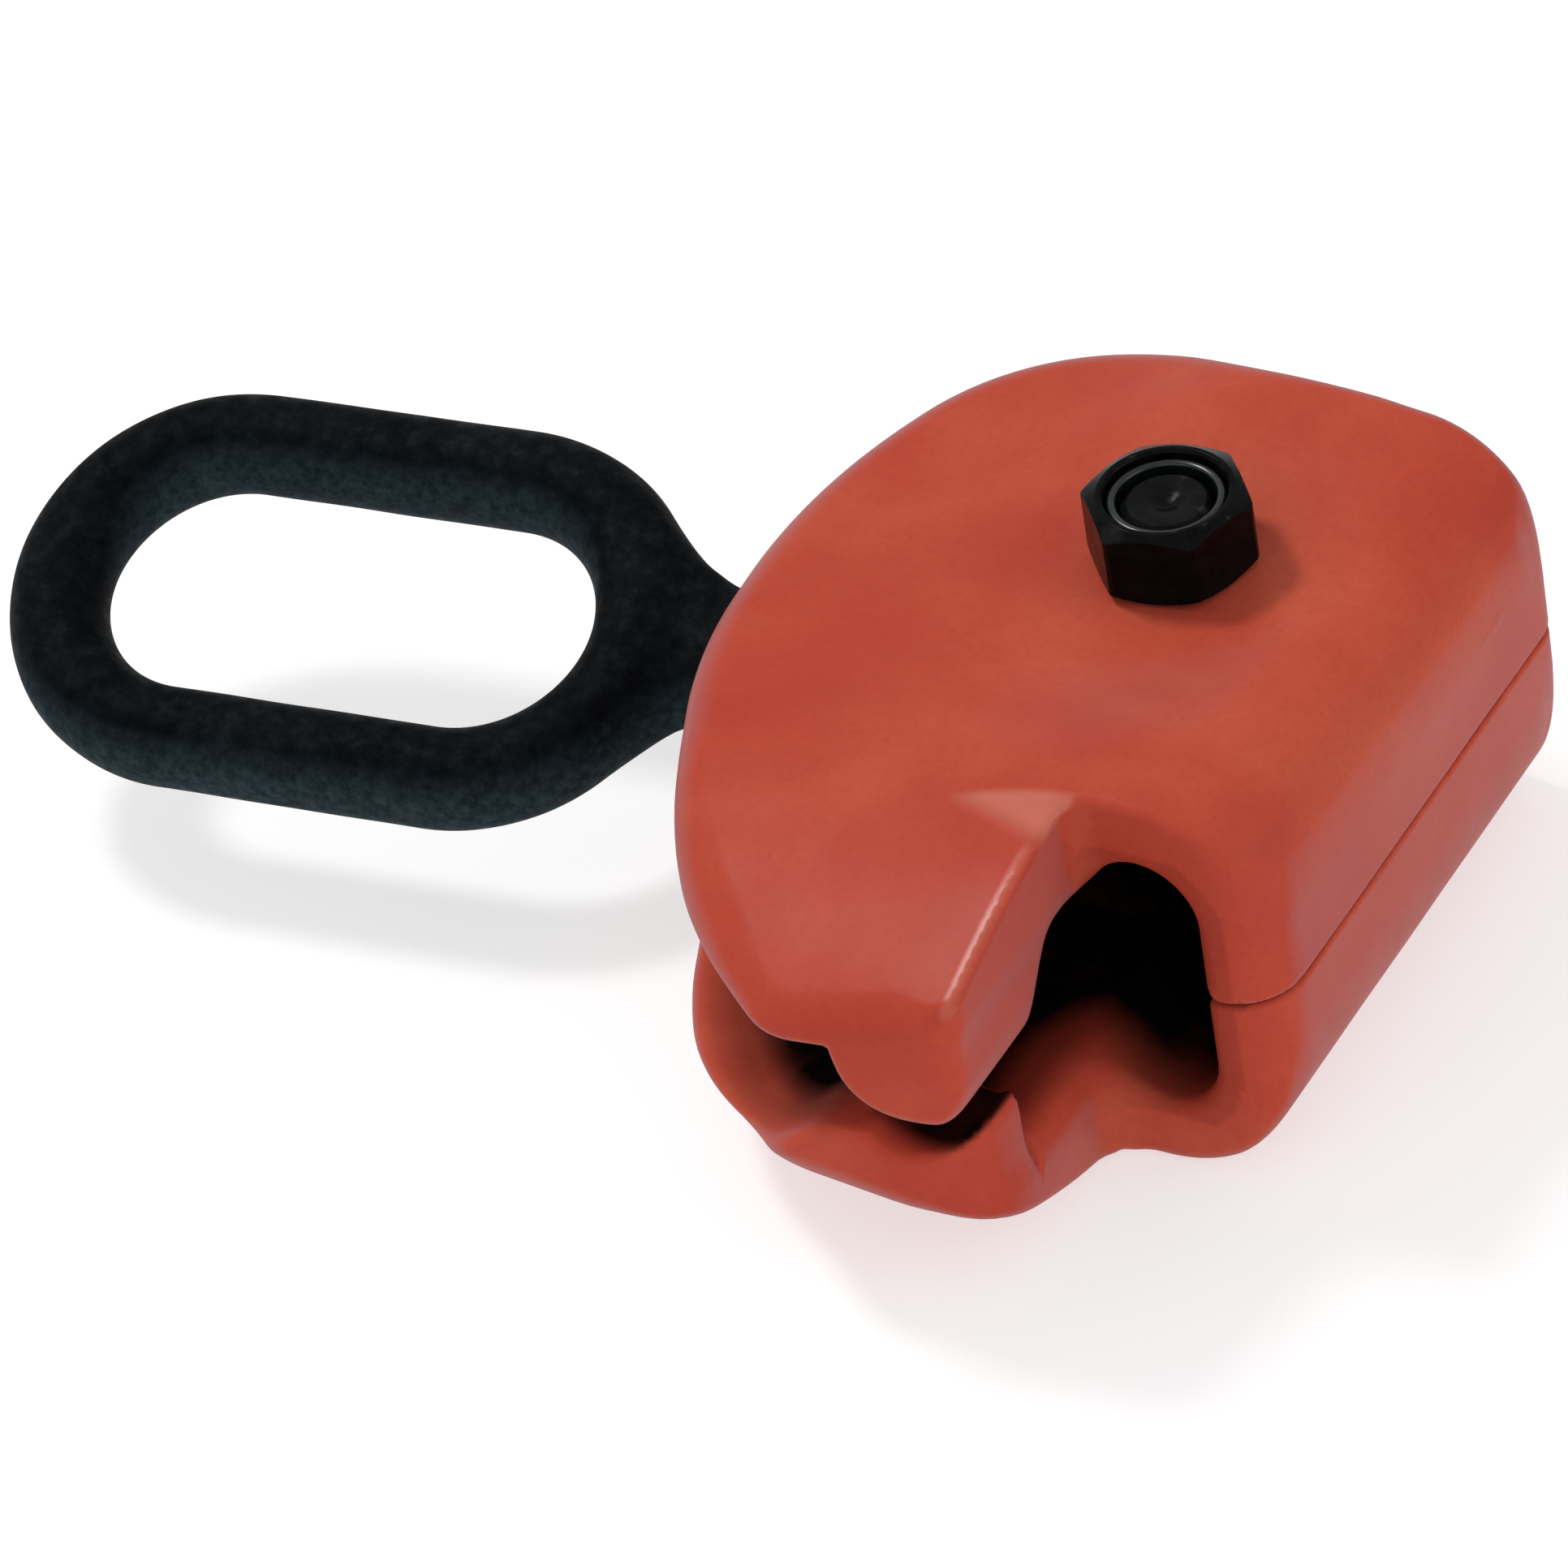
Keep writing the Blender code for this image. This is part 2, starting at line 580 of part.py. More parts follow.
def lock_nut():
    top = NUT_SEAT + NUT_H
    nut = hex_block("lock_nut", NUT_SEAT, top, True, BLACK_NUT)
    # a block has a corner at 30 degrees before it is turned
    nut.rotation_euler = (0, 0, math.radians(NUT_TURN - 30.0))
    boolean(nut, cylinder("nut_bore", NUT_BORE_R, NUT_SEAT - 2, top + 2, cutters))
    boolean(nut, cylinder("nut_pocket", NUT_POCKET_R, top - NUT_POCKET_DEPTH, top + 2, cutters))
    foot = top - INSERT_DEPTH
    head = foot + INSERT_H
    turned_ring("nut_insert", [
        (NUT_BORE_R, foot), (INSERT_R, foot), (INSERT_R, head - RING_CHAMFER),
        (INSERT_R - RING_CHAMFER, head), (NUT_BORE_R + 0.4, head), (NUT_BORE_R, head - 0.4),
    ], NYLON)


def pivot_sleeve():
    z0, z1 = Z_PART - GAP + PLAY, Z_PART + GAP - PLAY
    c = RING_CHAMFER
    turned_ring("pivot_sleeve", [
        (SLEEVE_BORE, z0 + c), (SLEEVE_BORE + c, z0), (SLEEVE_R - c, z0), (SLEEVE_R, z0 + c),
        (SLEEVE_R, z1 - c), (SLEEVE_R - c, z1), (SLEEVE_BORE + c, z1), (SLEEVE_BORE, z1 - c),
    ], BRONZE)


def thrust_washer(name, z0, z1):
    bore, c = SLEEVE_R + PLAY, RING_CHAMFER
    turned_ring(name, [
        (bore, z0), (WASHER_R - c, z0), (WASHER_R, z0 + c),
        (WASHER_R, z1 - c), (WASHER_R - c, z1), (bore, z1),
    ], ZINC)


# ---------------------------------------------------------------- cam lever
def cam_radius(direction):
    """Cam face: grows towards -Y so that turning the lever squeezes the rope."""
    if direction > 0:
        return CAM_R0 + CAM_BACK_GROW * min(1.0, direction / CAM_BACK_SPAN)
    return CAM_R0 + CAM_GROW * min(1.0, -direction / CAM_SPAN)


def cam_outline():
    """Anticlockwise from the nose: toothed face, plain back, heel."""
    points = []
    direction = -CAM_SPAN
    while direction < TEETH_END:
        radius = cam_radius(direction)
        points.append(polar(radius, direction))
        step = math.degrees(TOOTH_PITCH / radius)
        root = direction + step * TOOTH_ROOT
        points.append(polar(cam_radius(root) - TOOTH_DEPTH, root))
        direction += step
    while direction < BACK_END:
        points.append(polar(cam_radius(direction), direction))
        direction += BACK_STEP
    for k in range(HEEL_STEPS):
        share = k / HEEL_STEPS
        radius = HEEL_R + (CAM_R0 + CAM_GROW - HEEL_R) * share ** HEEL_POWER
        points.append(polar(radius, HEEL_START + (360.0 - CAM_SPAN - HEEL_START) * share))
    return points


def lever_shank():
    ux, uy = polar(1.0, EYE_DIR)
    corners = [(u * ux - v * uy, u * uy + v * ux, radius, steps)
               for u, v, radius, steps in SHANK]
    shank = prism("lever_shank", rounded(corners), Z_PART - SHANK_HALF, Z_PART + SHANK_HALF,
                  cutters)
    bevel = shank.modifiers.new("edges", 'BEVEL')
    bevel.width = SHANK_BEVEL * MM
    bevel.segments = 3
    bevel.limit_method = 'ANGLE'
    bevel.angle_limit = math.radians(50)
    return shank


def lever_eye():
    """Bar bent to an oblong ring, turned about its long axis so its near side is lower."""
    centre_x, centre_y = polar(EYE_DIST, EYE_DIR)
    long_x, long_y = polar(1.0, EYE_LONG)
    twist = math.radians(EYE_TWIST)
    path = []
    for end, start in ((1, -90), (-1, 90)):
        for k in range(EYE_BEND_POINTS):
            bend_x, bend_y = polar(EYE_BEND_R, start + 180 * k / (EYE_BEND_POINTS - 1))
            along = end * EYE_STRAIGHT / 2 + bend_x
            across = bend_y * math.cos(twist)
            path.append((centre_x + along * long_x - across * long_y,
                         centre_y + along * long_y + across * long_x,
                         Z_PART - bend_y * math.sin(twist)))
    return bent_bar("lever_eye", path, BAR_R, 4, True, cutters)


def cam_lever():
    hub_bottom = Z_PART + HUB_Z[0]
    lever = prism("cam_lever", cam_outline(), hub_bottom, Z_PART + HUB_Z[1], parts,
                  BLACK_FORGING)
    boolean(lever, lever_shank(), 'UNION')
    boolean(lever, lever_eye(), 'UNION')
    boolean(lever, cylinder("lever_bore", HUB_BORE, 0, 60, cutters))
    boolean(lever, cylinder("lever_spring_hole", 1.0, hub_bottom - 2, hub_bottom + 4.5, cutters,
                            at=polar(COIL_R, LEG_DIR), segments=16))


# ---------------------------------------------------------------- return spring
def return_spring():
    """Leg down out of the lever, coil clockwise and down, then a straight tail."""
    leg_x, leg_y = polar(COIL_R, LEG_DIR)
    leg_top = Z_PART + HUB_Z[0] + LEG_RISE
    coil_bottom, coil_top = (Z_PART + z for z in COIL_Z)
    path = [(leg_x, leg_y, leg_top), (leg_x, leg_y, (leg_top + coil_top) / 2)]
    turn = -360.0 * COIL_TURNS
    for k in range(COIL_STEPS + 1):
        share = k / COIL_STEPS
        path.append((*polar(COIL_R, LEG_DIR + turn * share),
                     coil_top + (coil_bottom - coil_top) * share))
    end_x, end_y, end_z = path[-1]
    for length in TAIL_LENGTHS:
        dx, dy = polar(length, LEG_DIR + turn - 90.0)
        path.append((end_x + dx, end_y + dy, end_z))
    bent_bar("return_spring", path, WIRE_R, 2, False, parts, SPRING_STEEL)


upper_shell()
lower_shell()
pins()
pivot_bolt()
lock_nut()
pivot_sleeve()
thrust_washer("thrust_washer_upper", Z_PART + HUB_Z[1] + PLAY, Z_PART + GAP - PLAY)
thrust_washer("thrust_washer_lower", Z_PART - GAP + PLAY, Z_PART + COIL_Z[0] - WIRE_R - PLAY)
cam_lever()
return_spring()
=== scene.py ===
# A rope clamp: two enamelled shell castings, a black cam lever between them, and the bolt,
# nut, sleeve, washers, pins and spring that join them. The bolt stands on +Z at the origin,
# with its head's face at z = 0. The shells meet at PARTING_Z. The rope channel runs along Y
# on the +X side, and the lever reaches out to -X. Sizes are in mm until a mesh is made.
import math

import bmesh
import bpy
import numpy as np
from mathutils import Matrix, Vector


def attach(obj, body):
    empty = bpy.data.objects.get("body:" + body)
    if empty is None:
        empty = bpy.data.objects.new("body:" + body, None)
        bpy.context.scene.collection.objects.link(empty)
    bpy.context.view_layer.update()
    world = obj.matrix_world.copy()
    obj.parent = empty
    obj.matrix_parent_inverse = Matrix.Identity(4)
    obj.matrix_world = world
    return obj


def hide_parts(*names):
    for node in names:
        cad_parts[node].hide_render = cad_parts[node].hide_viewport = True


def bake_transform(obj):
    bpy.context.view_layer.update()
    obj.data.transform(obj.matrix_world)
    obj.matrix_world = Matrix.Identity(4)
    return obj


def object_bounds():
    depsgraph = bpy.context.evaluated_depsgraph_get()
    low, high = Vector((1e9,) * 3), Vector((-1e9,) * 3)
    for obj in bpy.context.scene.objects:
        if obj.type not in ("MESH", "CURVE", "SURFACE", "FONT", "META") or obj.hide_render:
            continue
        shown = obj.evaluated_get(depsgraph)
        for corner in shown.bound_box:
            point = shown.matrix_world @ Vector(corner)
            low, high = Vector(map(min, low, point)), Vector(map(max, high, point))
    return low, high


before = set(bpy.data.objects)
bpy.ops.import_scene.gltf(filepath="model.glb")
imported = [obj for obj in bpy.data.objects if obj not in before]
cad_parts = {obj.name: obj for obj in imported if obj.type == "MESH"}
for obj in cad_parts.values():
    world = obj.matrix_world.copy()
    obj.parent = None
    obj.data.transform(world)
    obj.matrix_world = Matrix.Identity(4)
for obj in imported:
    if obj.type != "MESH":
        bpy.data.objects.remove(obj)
cad_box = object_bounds()

MM = 0.001
PARTING_Z = 25.0
UPPER, LOWER = 1, -1                        # side of the parting plane a shell lies on
SHELL_CELL = 0.62    # grid spacing of the cast surfaces
LEVER_CELL = 0.6

# sizes shared between parts
HEX_FLATS = 19.0                            # across flats, bolt head and nut
BOLT_TURN = math.radians(30)
GAP = 11.3                                  # lever gap's wall, from the parting plane
LEVER_BASE = PARTING_Z - 6.0                # underside of the lever's hub
DOWEL_X, DOWEL_R, DOWEL_HALF = 30.6, 2.0, 8.0
DOWELS = {"near": -36.0, "far": 22.0}       # y of each dowel
SPRING_R, SPRING_DEG = 9.2, 200.0           # coil radius, and direction of its upper end


def polar(radius, degrees):
    angle = math.radians(degrees)
    return radius * math.cos(angle), radius * math.sin(angle)


SPRING_PIN = polar(13.4, 118.0)
SPRING_END = polar(SPRING_R, SPRING_DEG)


# ============================================================ distance fields
def unit(v):
    return v / np.linalg.norm(v)


def arc_corner(before, corner, after, radius, steps):
    """Points of the arc that rounds a corner."""
    back = unit(np.subtract(before, corner))
    ahead = unit(np.subtract(after, corner))
    half = math.acos(max(-1, min(1, float(back @ ahead)))) / 2
    reach = radius / math.tan(half)
    centre = np.array(corner) + unit(back + ahead) * (radius / math.sin(half))
    start = np.array(corner) + back * reach - centre
    end = np.array(corner) + ahead * reach - centre
    sweep = math.atan2(start[0] * end[1] - start[1] * end[0], float(start @ end))
    points = []
    for k in range(steps + 1):
        c, s = math.cos(sweep * k / steps), math.sin(sweep * k / steps)
        points.append((centre[0] + start[0] * c - start[1] * s,
                       centre[1] + start[0] * s + start[1] * c))
    return points


def rounded(corners):
    """Closed outline from (x, y, corner radius)."""
    points = []
    for i, (x, y, radius) in enumerate(corners):
        before, after = corners[i - 1][:2], corners[(i + 1) % len(corners)][:2]
        if radius:
            points += arc_corner(before, (x, y), after, radius, 18 if radius > 20 else 9)
        else:
            points.append((x, y))
    return np.array(points)


def poly_sdf(x, y, points):
    """Signed distance to a closed polygon, negative inside."""
    x = np.asarray(x, float)
    y = np.asarray(y, float)
    nearest = np.full(x.shape, 1e9)
    inside = np.zeros(x.shape, bool)
    for i in range(len(points)):
        x0, y0 = points[i]
        x1, y1 = points[(i + 1) % len(points)]
        ex, ey = x1 - x0, y1 - y0
        square = ex * ex + ey * ey
        if square < 1e-14:
            continue
        wx, wy = x - x0, y - y0
        t = np.clip((wx * ex + wy * ey) / square, 0, 1)
        nearest = np.minimum(nearest, (wx - ex * t) ** 2 + (wy - ey * t) ** 2)
        if ey != 0:
            inside ^= ((y0 > y) != (y1 > y)) & (x < x0 + ex * (y - y0) / ey)
    nearest = np.sqrt(nearest)
    return np.where(inside, -nearest, nearest)


def round_max(a, b, radius):
    """Intersection of two fields with the edge rounded."""
    u = a + radius
    v = b + radius
    return (np.minimum(np.maximum(u, v), 0)
            + np.hypot(np.maximum(u, 0), np.maximum(v, 0)) - radius)


def round_min(a, b, radius):
    """Union of two fields with the inner corner filleted."""
    return -round_max(-a, -b, radius)


def smooth01(t):
    t = np.clip(t, 0, 1)
    return t * t * (3 - 2 * t)


def rise(value, start, span):
    """Smooth step: 0 up to start, 1 from start + span."""
    return smooth01((value - start) / span)


def fall(value, start, span):
    """Smooth step: 0 from start up, 1 below start - span."""
    return smooth01((start - value) / span)


def blend(a, b, t):
    return a * (1 - t) + b * t


def wave(x, y, z, size, seed):
    """Slow smooth unevenness of a casting, 0..1, from fixed sines."""
    rng = np.random.RandomState(seed)
    total = 0
    for _ in range(6):
        v = unit(rng.normal(size=3)) * (2 * math.pi / (size * (0.7 + 0.9 * rng.rand())))
        total = total + np.sin(v[0] * x + v[1] * y + v[2] * z + rng.rand() * 6.28)
    return 0.5 + total / 12.0


class Field:
    """A field over points; columns(x, y) holds what a grid needs only once per column."""

    def __init__(self, columns, full):
        self.columns, self.full = columns, full

    def grid(self, xs, ys, zs):
        x, y = np.meshgrid(xs, ys, indexing="ij")
        columns = {k: v[:, :, None] for k, v in self.columns(x, y).items()}
        values = np.empty((len(xs), len(ys), len(zs)), np.float32)
        slab = 24                           # levels worked at once, to limit memory
        for i in range(0, len(zs), slab):
            z = zs[i:i + slab][None, None, :]
            values[:, :, i:i + slab] = self.full(x[:, :, None], y[:, :, None], z, columns)
        return values

    def at(self, points):
        x, y, z = points.T
        return self.full(x, y, z, self.columns(x, y))


def net_vertices(values, cells):
    """Mean of the edge crossings in each cell, in cell units."""
    corners = np.array([(i, j, k) for i in (0, 1) for j in (0, 1) for k in (0, 1)])
    at = np.stack([values[cells[:, 0] + i, cells[:, 1] + j, cells[:, 2] + k]
                   for i, j, k in corners], 1).astype(float)
    total = np.zeros((len(cells), 3))
    count = np.zeros(len(cells))
    for m in range(8):
        for n in range(m + 1, 8):
            if np.abs(corners[m] - corners[n]).sum() != 1:
                continue
            a, b = at[:, m], at[:, n]
            crosses = (a < 0) != (b < 0)
            t = np.where(crosses, a / np.where(crosses, a - b, 1), 0)
            point = corners[m][None] + t[:, None] * (corners[n] - corners[m])[None]
            total += np.where(crosses[:, None], point, 0)
            count += crosses
    return cells + total / count[:, None]


def net_quads(inside, index):
    """One quad around every grid edge that crosses the surface."""
    quads = []
    for axis in range(3):
        side1, side2 = (axis + 1) % 3, (axis + 2) % 3
        a = np.take(inside, range(0, inside.shape[axis] - 1), axis)
        b = np.take(inside, range(1, inside.shape[axis]), axis)
        for outward, mask in ((True, a & ~b), (False, ~a & b)):
            edges = np.argwhere(mask)
            edges = edges[(edges[:, side1] > 0) & (edges[:, side2] > 0)]
            if not len(edges):
                continue
            ring = []
            for step1, step2 in ((-1, -1), (0, -1), (0, 0), (-1, 0)):
                cell = edges.copy()
                cell[:, side1] += step1
                cell[:, side2] += step2
                ring.append(index[cell[:, 0], cell[:, 1], cell[:, 2]])
            quad = np.stack(ring, 1)
            quads.append(quad if outward else quad[:, ::-1])
    return np.concatenate(quads)


def relax(field, verts, quads, cell):
    """Pull the vertices onto the surface and even them out along it."""
    probe = 0.05
    value = field.at(verts)
    grad = np.stack([(field.at(verts + np.eye(3)[k] * probe) - value) / probe
                     for k in range(3)], 1)
    square = np.maximum((grad * grad).sum(1), 0.15)
    step = np.clip(value / square, -0.35 * cell, 0.35 * cell)
    verts = verts - grad * step[:, None]
    total = np.zeros_like(verts)
    count = np.zeros(len(verts))
    for m in range(4):
        i, j = quads[:, m], quads[:, (m + 1) % 4]
        np.add.at(total, i, verts[j])
        np.add.at(total, j, verts[i])
        np.add.at(count, i, 1)
        np.add.at(count, j, 1)
    normal = grad / np.sqrt(square)[:, None]
    drift = total / count[:, None] - verts
    return verts + 0.4 * (drift - normal * (drift * normal).sum(1)[:, None])


def surface_nets(field, low, high, cell):
    xs, ys, zs = (np.arange(low[k], high[k] + cell, cell) for k in range(3))
    values = field.grid(xs, ys, zs)
    values[np.abs(values) < 1e-5] = 1e-5
    inside = values < 0
    # how many of each cell's eight corners lie inside
    total = sum(inside[i:i - 1 or None, j:j - 1 or None, k:k - 1 or None].astype(np.int8)
                for i in (0, 1) for j in (0, 1) for k in (0, 1))
    active = (total > 0) & (total < 8)
    cells = np.argwhere(active)
    index = np.full(active.shape, -1, np.int64)
    index[active] = np.arange(len(cells))
    verts = net_vertices(values, cells) * cell + np.array([xs[0], ys[0], zs[0]])
    quads = net_quads(inside, index)
    for _ in range(3):
        verts = relax(field, verts, quads, cell)
    return verts, quads


# ============================================================ objects
def link_object(name, mesh):
    ob = bpy.data.objects.new(name, mesh)
    bpy.context.scene.collection.objects.link(ob)
    return ob


def quad_object(name, verts, quads, mat):
    mesh = bpy.data.meshes.new(name)
    mesh.vertices.add(len(verts))
    mesh.vertices.foreach_set("co", (verts * MM).astype(np.float32).ravel())
    mesh.loops.add(quads.size)
    mesh.loops.foreach_set("vertex_index", quads.ravel().astype(np.int32))
    mesh.polygons.add(len(quads))
    mesh.polygons.foreach_set("loop_start", np.arange(0, quads.size, 4, dtype=np.int32))
    mesh.polygons.foreach_set("loop_total", np.full(len(quads), 4, np.int32))
    mesh.update(calc_edges=True)
    mesh.validate()
    mesh.shade_smooth()
    mesh.materials.append(mat)
    return link_object(name, mesh)


def smooth_with_creases(mesh, degrees):
    mesh.shade_smooth()
    mesh.set_sharp_from_angle(angle=math.radians(degrees))


def bmesh_object(name, bm, mat=None, sharp=35.0):
    mesh = bpy.data.meshes.new(name)
    bm.to_mesh(mesh)
    bm.free()
    smooth_with_creases(mesh, sharp)
    if mat:
        mesh.materials.append(mat)
    return link_object(name, mesh)


def register(ob, replaced, part="body"):
    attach(ob, part)
    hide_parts(replaced)


# ============================================================ materials
def srgb(*rgb):
    """Linear colour from 0..255 values."""
    return tuple(((v / 255 + 0.055) / 1.055) ** 2.4 if v > 10 else v / 255 / 12.92
                 for v in rgb)


class Shader:
    """A Principled material, with short calls for the nodes that feed it."""

    def __init__(self, name):
        self.material = bpy.data.materials.new(name)
        self.material.use_nodes = True
        self.tree = self.material.node_tree
        for node in list(self.tree.nodes):
            self.tree.nodes.remove(node)
        output = self.add("OutputMaterial")
        self.bsdf = self.add("BsdfPrincipled")
        self.feed(output, {0: self.bsdf.outputs[0]})
        self.coord = self.add("TexCoord").outputs["Object"]

    def add(self, kind, **settings):
        node = self.tree.nodes.new("ShaderNode" + kind)
        for key, value in settings.items():
            setattr(node, key, value)
        return node

    def feed(self, node, values):
        """Link or set inputs, keyed by name or number."""
        for key, value in values.items():
            socket = node.inputs[key]
            if isinstance(value, bpy.types.NodeSocket):
                self.tree.links.new(value, socket)
            elif socket.type == 'RGBA':
                socket.default_value = (*value, 1)
            else:
                socket.default_value = value

    def surface(self, values):
        self.feed(self.bsdf, values)

    def noise(self, scale, detail=3.0, rough=0.55, warp=0.0):
        node = self.add("TexNoise")
        self.feed(node, {"Scale": scale, "Detail": detail, "Roughness": rough,
                         "Distortion": warp, "Vector": self.coord})
        return node.outputs[0]

    def ramp(self, factor, stops):
        """Colour ramp from (position, colour) stops."""
        node = self.add("ValToRGB")
        elements = node.color_ramp.elements
        while len(elements) < len(stops):
            elements.new(0.5)
        for element, (position, colour) in zip(elements, stops):
            element.position = position
            element.color = (*colour, 1)
        self.feed(node, {0: factor})
        return node.outputs[0]

    def mix(self, factor, under, over):
        node = self.add("Mix", data_type='RGBA')
        self.feed(node, {0: factor, 6: under, 7: over})
        return node.outputs[2]

    def maths(self, operation, a, b, clamp=False):
        node = self.add("Math", operation=operation, use_clamp=clamp)
        self.feed(node, {0: a, 1: b})
        return node.outputs[0]

    def times(self, a, b, clamp=False):
        return self.maths('MULTIPLY', a, b, clamp)

    def remap(self, value, span, to):
        node = self.add("MapRange")
        self.feed(node, {0: value, 1: span[0], 2: span[1], 3: to[0], 4: to[1]})
        return node.outputs[0]

    def attribute(self, name):
        return self.add("Attribute", attribute_name=name).outputs["Fac"]

    def bump(self, height, strength, distance, under=None):
        node = self.add("Bump")
        self.feed(node, {"Strength": strength, "Distance": distance, "Height": height})
        if under is not None:
            self.feed(node, {"Normal": under})
        return node.outputs[0]


def enamel(name, offset):
    """Orange-red enamel on a sand casting; offset moves the pattern for each shell."""
    shade = Shader(name)
    shift = shade.add("VectorMath", operation='ADD')
    shade.feed(shift, {0: shade.coord, 1: (offset * 0.37, offset * 0.11, offset * 0.23)})
    shade.coord = shift.outputs[0]

    # slow colour drift with fine dark specks
    drift = shade.noise(scale=22.0, rough=0.6, warp=0.3)
    colour = shade.ramp(drift, [(0.30, srgb(170, 60, 45)), (0.48, srgb(178, 69, 51)),
                                (0.66, srgb(187, 82, 60))])
    fine = shade.noise(scale=900.0, rough=0.65)
    specks = shade.remap(fine, span=(0.35, 0.75), to=(0.0, 0.22))
    colour = shade.mix(specks, colour, over=srgb(150, 46, 36))
    # the depth mask paints shade into the rope channel, the lever gap and the cup, near black
    # deep inside
    depth = shade.attribute("depth")
    mottle = shade.noise(scale=75.0, rough=0.6)
    painted_shade = shade.times(depth, shade.remap(mottle, span=(0.3, 0.6), to=(0.9, 1.1)), clamp=True)

    # painted sheen: cooler and paler where the surface is seen at a low angle, standing in for
    # reflected light, but not inside the recesses
    weight = shade.add("LayerWeight")
    shade.feed(weight, {"Blend": 0.5})
    pale = shade.times(
        shade.remap(weight.outputs["Facing"], span=(0.43, 0.72), to=(0.0, 0.66)),
        shade.remap(depth, span=(0.0, 0.15), to=(1.0, 0.0)))
    colour = shade.mix(pale, colour, over=srgb(160, 98, 98))

    # paint worn thin on edges, painted shade in concave creases and in the recesses
    pointiness = shade.add("NewGeometry").outputs["Pointiness"]
    edge = shade.remap(pointiness, span=(0.53, 0.60), to=(0.0, 1.0))
    breaks = shade.remap(shade.noise(scale=260.0, detail=4.0, rough=0.7),
                         span=(0.50, 0.68), to=(0.0, 1.0))
    wear = shade.times(edge, breaks, clamp=True)
    colour = shade.mix(shade.times(wear, 0.40), colour, over=srgb(205, 124, 102))
    # painted shade in concave creases, from pointiness
    crease_shade = shade.remap(pointiness, span=(0.40, 0.48), to=(0.55, 0.0))
    colour = shade.mix(crease_shade, colour, over=srgb(86, 36, 33))
    colour = shade.mix(painted_shade, colour, over=srgb(13, 9, 9))

    # painted highlight on the crest flat and the ridge of the upper lobe: a lighter colour, and a
    # glossier coat that catches the key light
    painted_highlight = shade.attribute("painted_highlight")
    patchy = shade.noise(scale=140.0, detail=4.0, rough=0.6)
    highlight_patch = shade.times(painted_highlight, shade.remap(patchy, span=(0.25, 0.6), to=(0.7, 1.0)), clamp=True)
    colour = shade.mix(shade.times(highlight_patch, 0.42), colour, over=srgb(206, 132, 112))

    dull = shade.noise(scale=60.0, detail=4.0, rough=0.6)
    # coat and specular fade out where shade is painted, so the recesses stay dark
    clean = shade.remap(painted_shade, span=(0.0, 0.6), to=(0.035, 0.0))
    waves = shade.bump(shade.noise(scale=110.0, rough=0.5), strength=0.22, distance=0.0010)
    peel = shade.bump(shade.noise(scale=1300.0, detail=2.0, rough=0.5),
                      strength=0.16, distance=0.00012, under=waves)
    shade.surface({
        "Base Color": colour,
        "Roughness": shade.remap(dull, span=(0.3, 0.7), to=(0.42, 0.58)),
        "Specular IOR Level": shade.remap(painted_shade, span=(0.0, 1.0), to=(0.045, 0.0)),
        "Coat Weight": shade.maths('ADD', clean, shade.times(highlight_patch, 0.40)),
        "Coat Roughness": 0.20,
        "Normal": peel})
    return shade.material


def black_coat(name):
    """Matt black coating on a rough forging: mottled, with a painted blue-grey sheen on faces
    turned to -Y and down.
    """
    shade = Shader(name)
    fine = shade.noise(scale=420.0, detail=5.0, rough=0.7)
    broad = shade.noise(scale=55.0, rough=0.6)
    mottle = shade.maths('ADD', shade.times(fine, 0.65), shade.times(broad, 0.35))
    colour = shade.ramp(mottle, [(0.40, (0.0012, 0.0016, 0.0022)),
                                 (0.52, (0.0028, 0.0038, 0.0050)),
                                 (0.66, (0.0075, 0.0105, 0.0135))])
    # painted sheen: greyer and bluer on faces turned to -Y and down, as if lit from there,
    # breaking up into grains
    geometry = shade.add("NewGeometry")
    facing = shade.add("VectorMath", operation='DOT_PRODUCT')
    shade.feed(facing, {0: geometry.outputs["Normal"], 1: (0.15, -0.62, -0.77)})
    side_sheen = shade.remap(facing.outputs["Value"], span=(-0.15, 0.55), to=(0.0, 1.0))
    grain = shade.remap(shade.noise(scale=700.0, rough=0.7), span=(0.38, 0.66), to=(0.35, 1.0))
    colour = shade.mix(shade.times(side_sheen, grain, clamp=True), colour,
                       over=(0.024, 0.042, 0.050))
    edge = shade.remap(geometry.outputs["Pointiness"], span=(0.55, 0.66), to=(0.0, 0.5))
    colour = shade.mix(edge, colour, over=(0.012, 0.013, 0.015))
    lumps = shade.bump(broad, strength=0.35, distance=0.0012)
    shade.surface({
        "Base Color": colour,
        "Roughness": shade.remap(fine, span=(0.3, 0.7), to=(0.72, 0.50)),
        "Specular IOR Level": 0.03,
        "Normal": shade.bump(fine, strength=0.5, distance=0.0003, under=lumps)})
    return shade.material


def oxide(name, dark, light, rough):
    """Oiled black oxide on machined steel, between two grey levels."""
    shade = Shader(name)
    mottle = shade.noise(scale=300.0, detail=4.0, rough=0.6)
    colour = shade.ramp(mottle, [(0.35, (dark, dark * 1.1, dark * 1.25)),
                                 (0.7, (light, light * 1.08, light * 1.15))])
    pointiness = shade.add("NewGeometry").outputs["Pointiness"]
    edge = shade.remap(pointiness, span=(0.54, 0.64), to=(0.0, 0.6))
    shade.surface({
        "Base Color": shade.mix(edge, colour, over=(0.035, 0.030, 0.026)),
        "Specular IOR Level": 0.05,
        "Roughness": shade.remap(mottle, span=(0.3, 0.7), to=rough),
        "Normal": shade.bump(shade.noise(scale=800.0, rough=0.5),
                             strength=0.25, distance=0.0001)})
    return shade.material


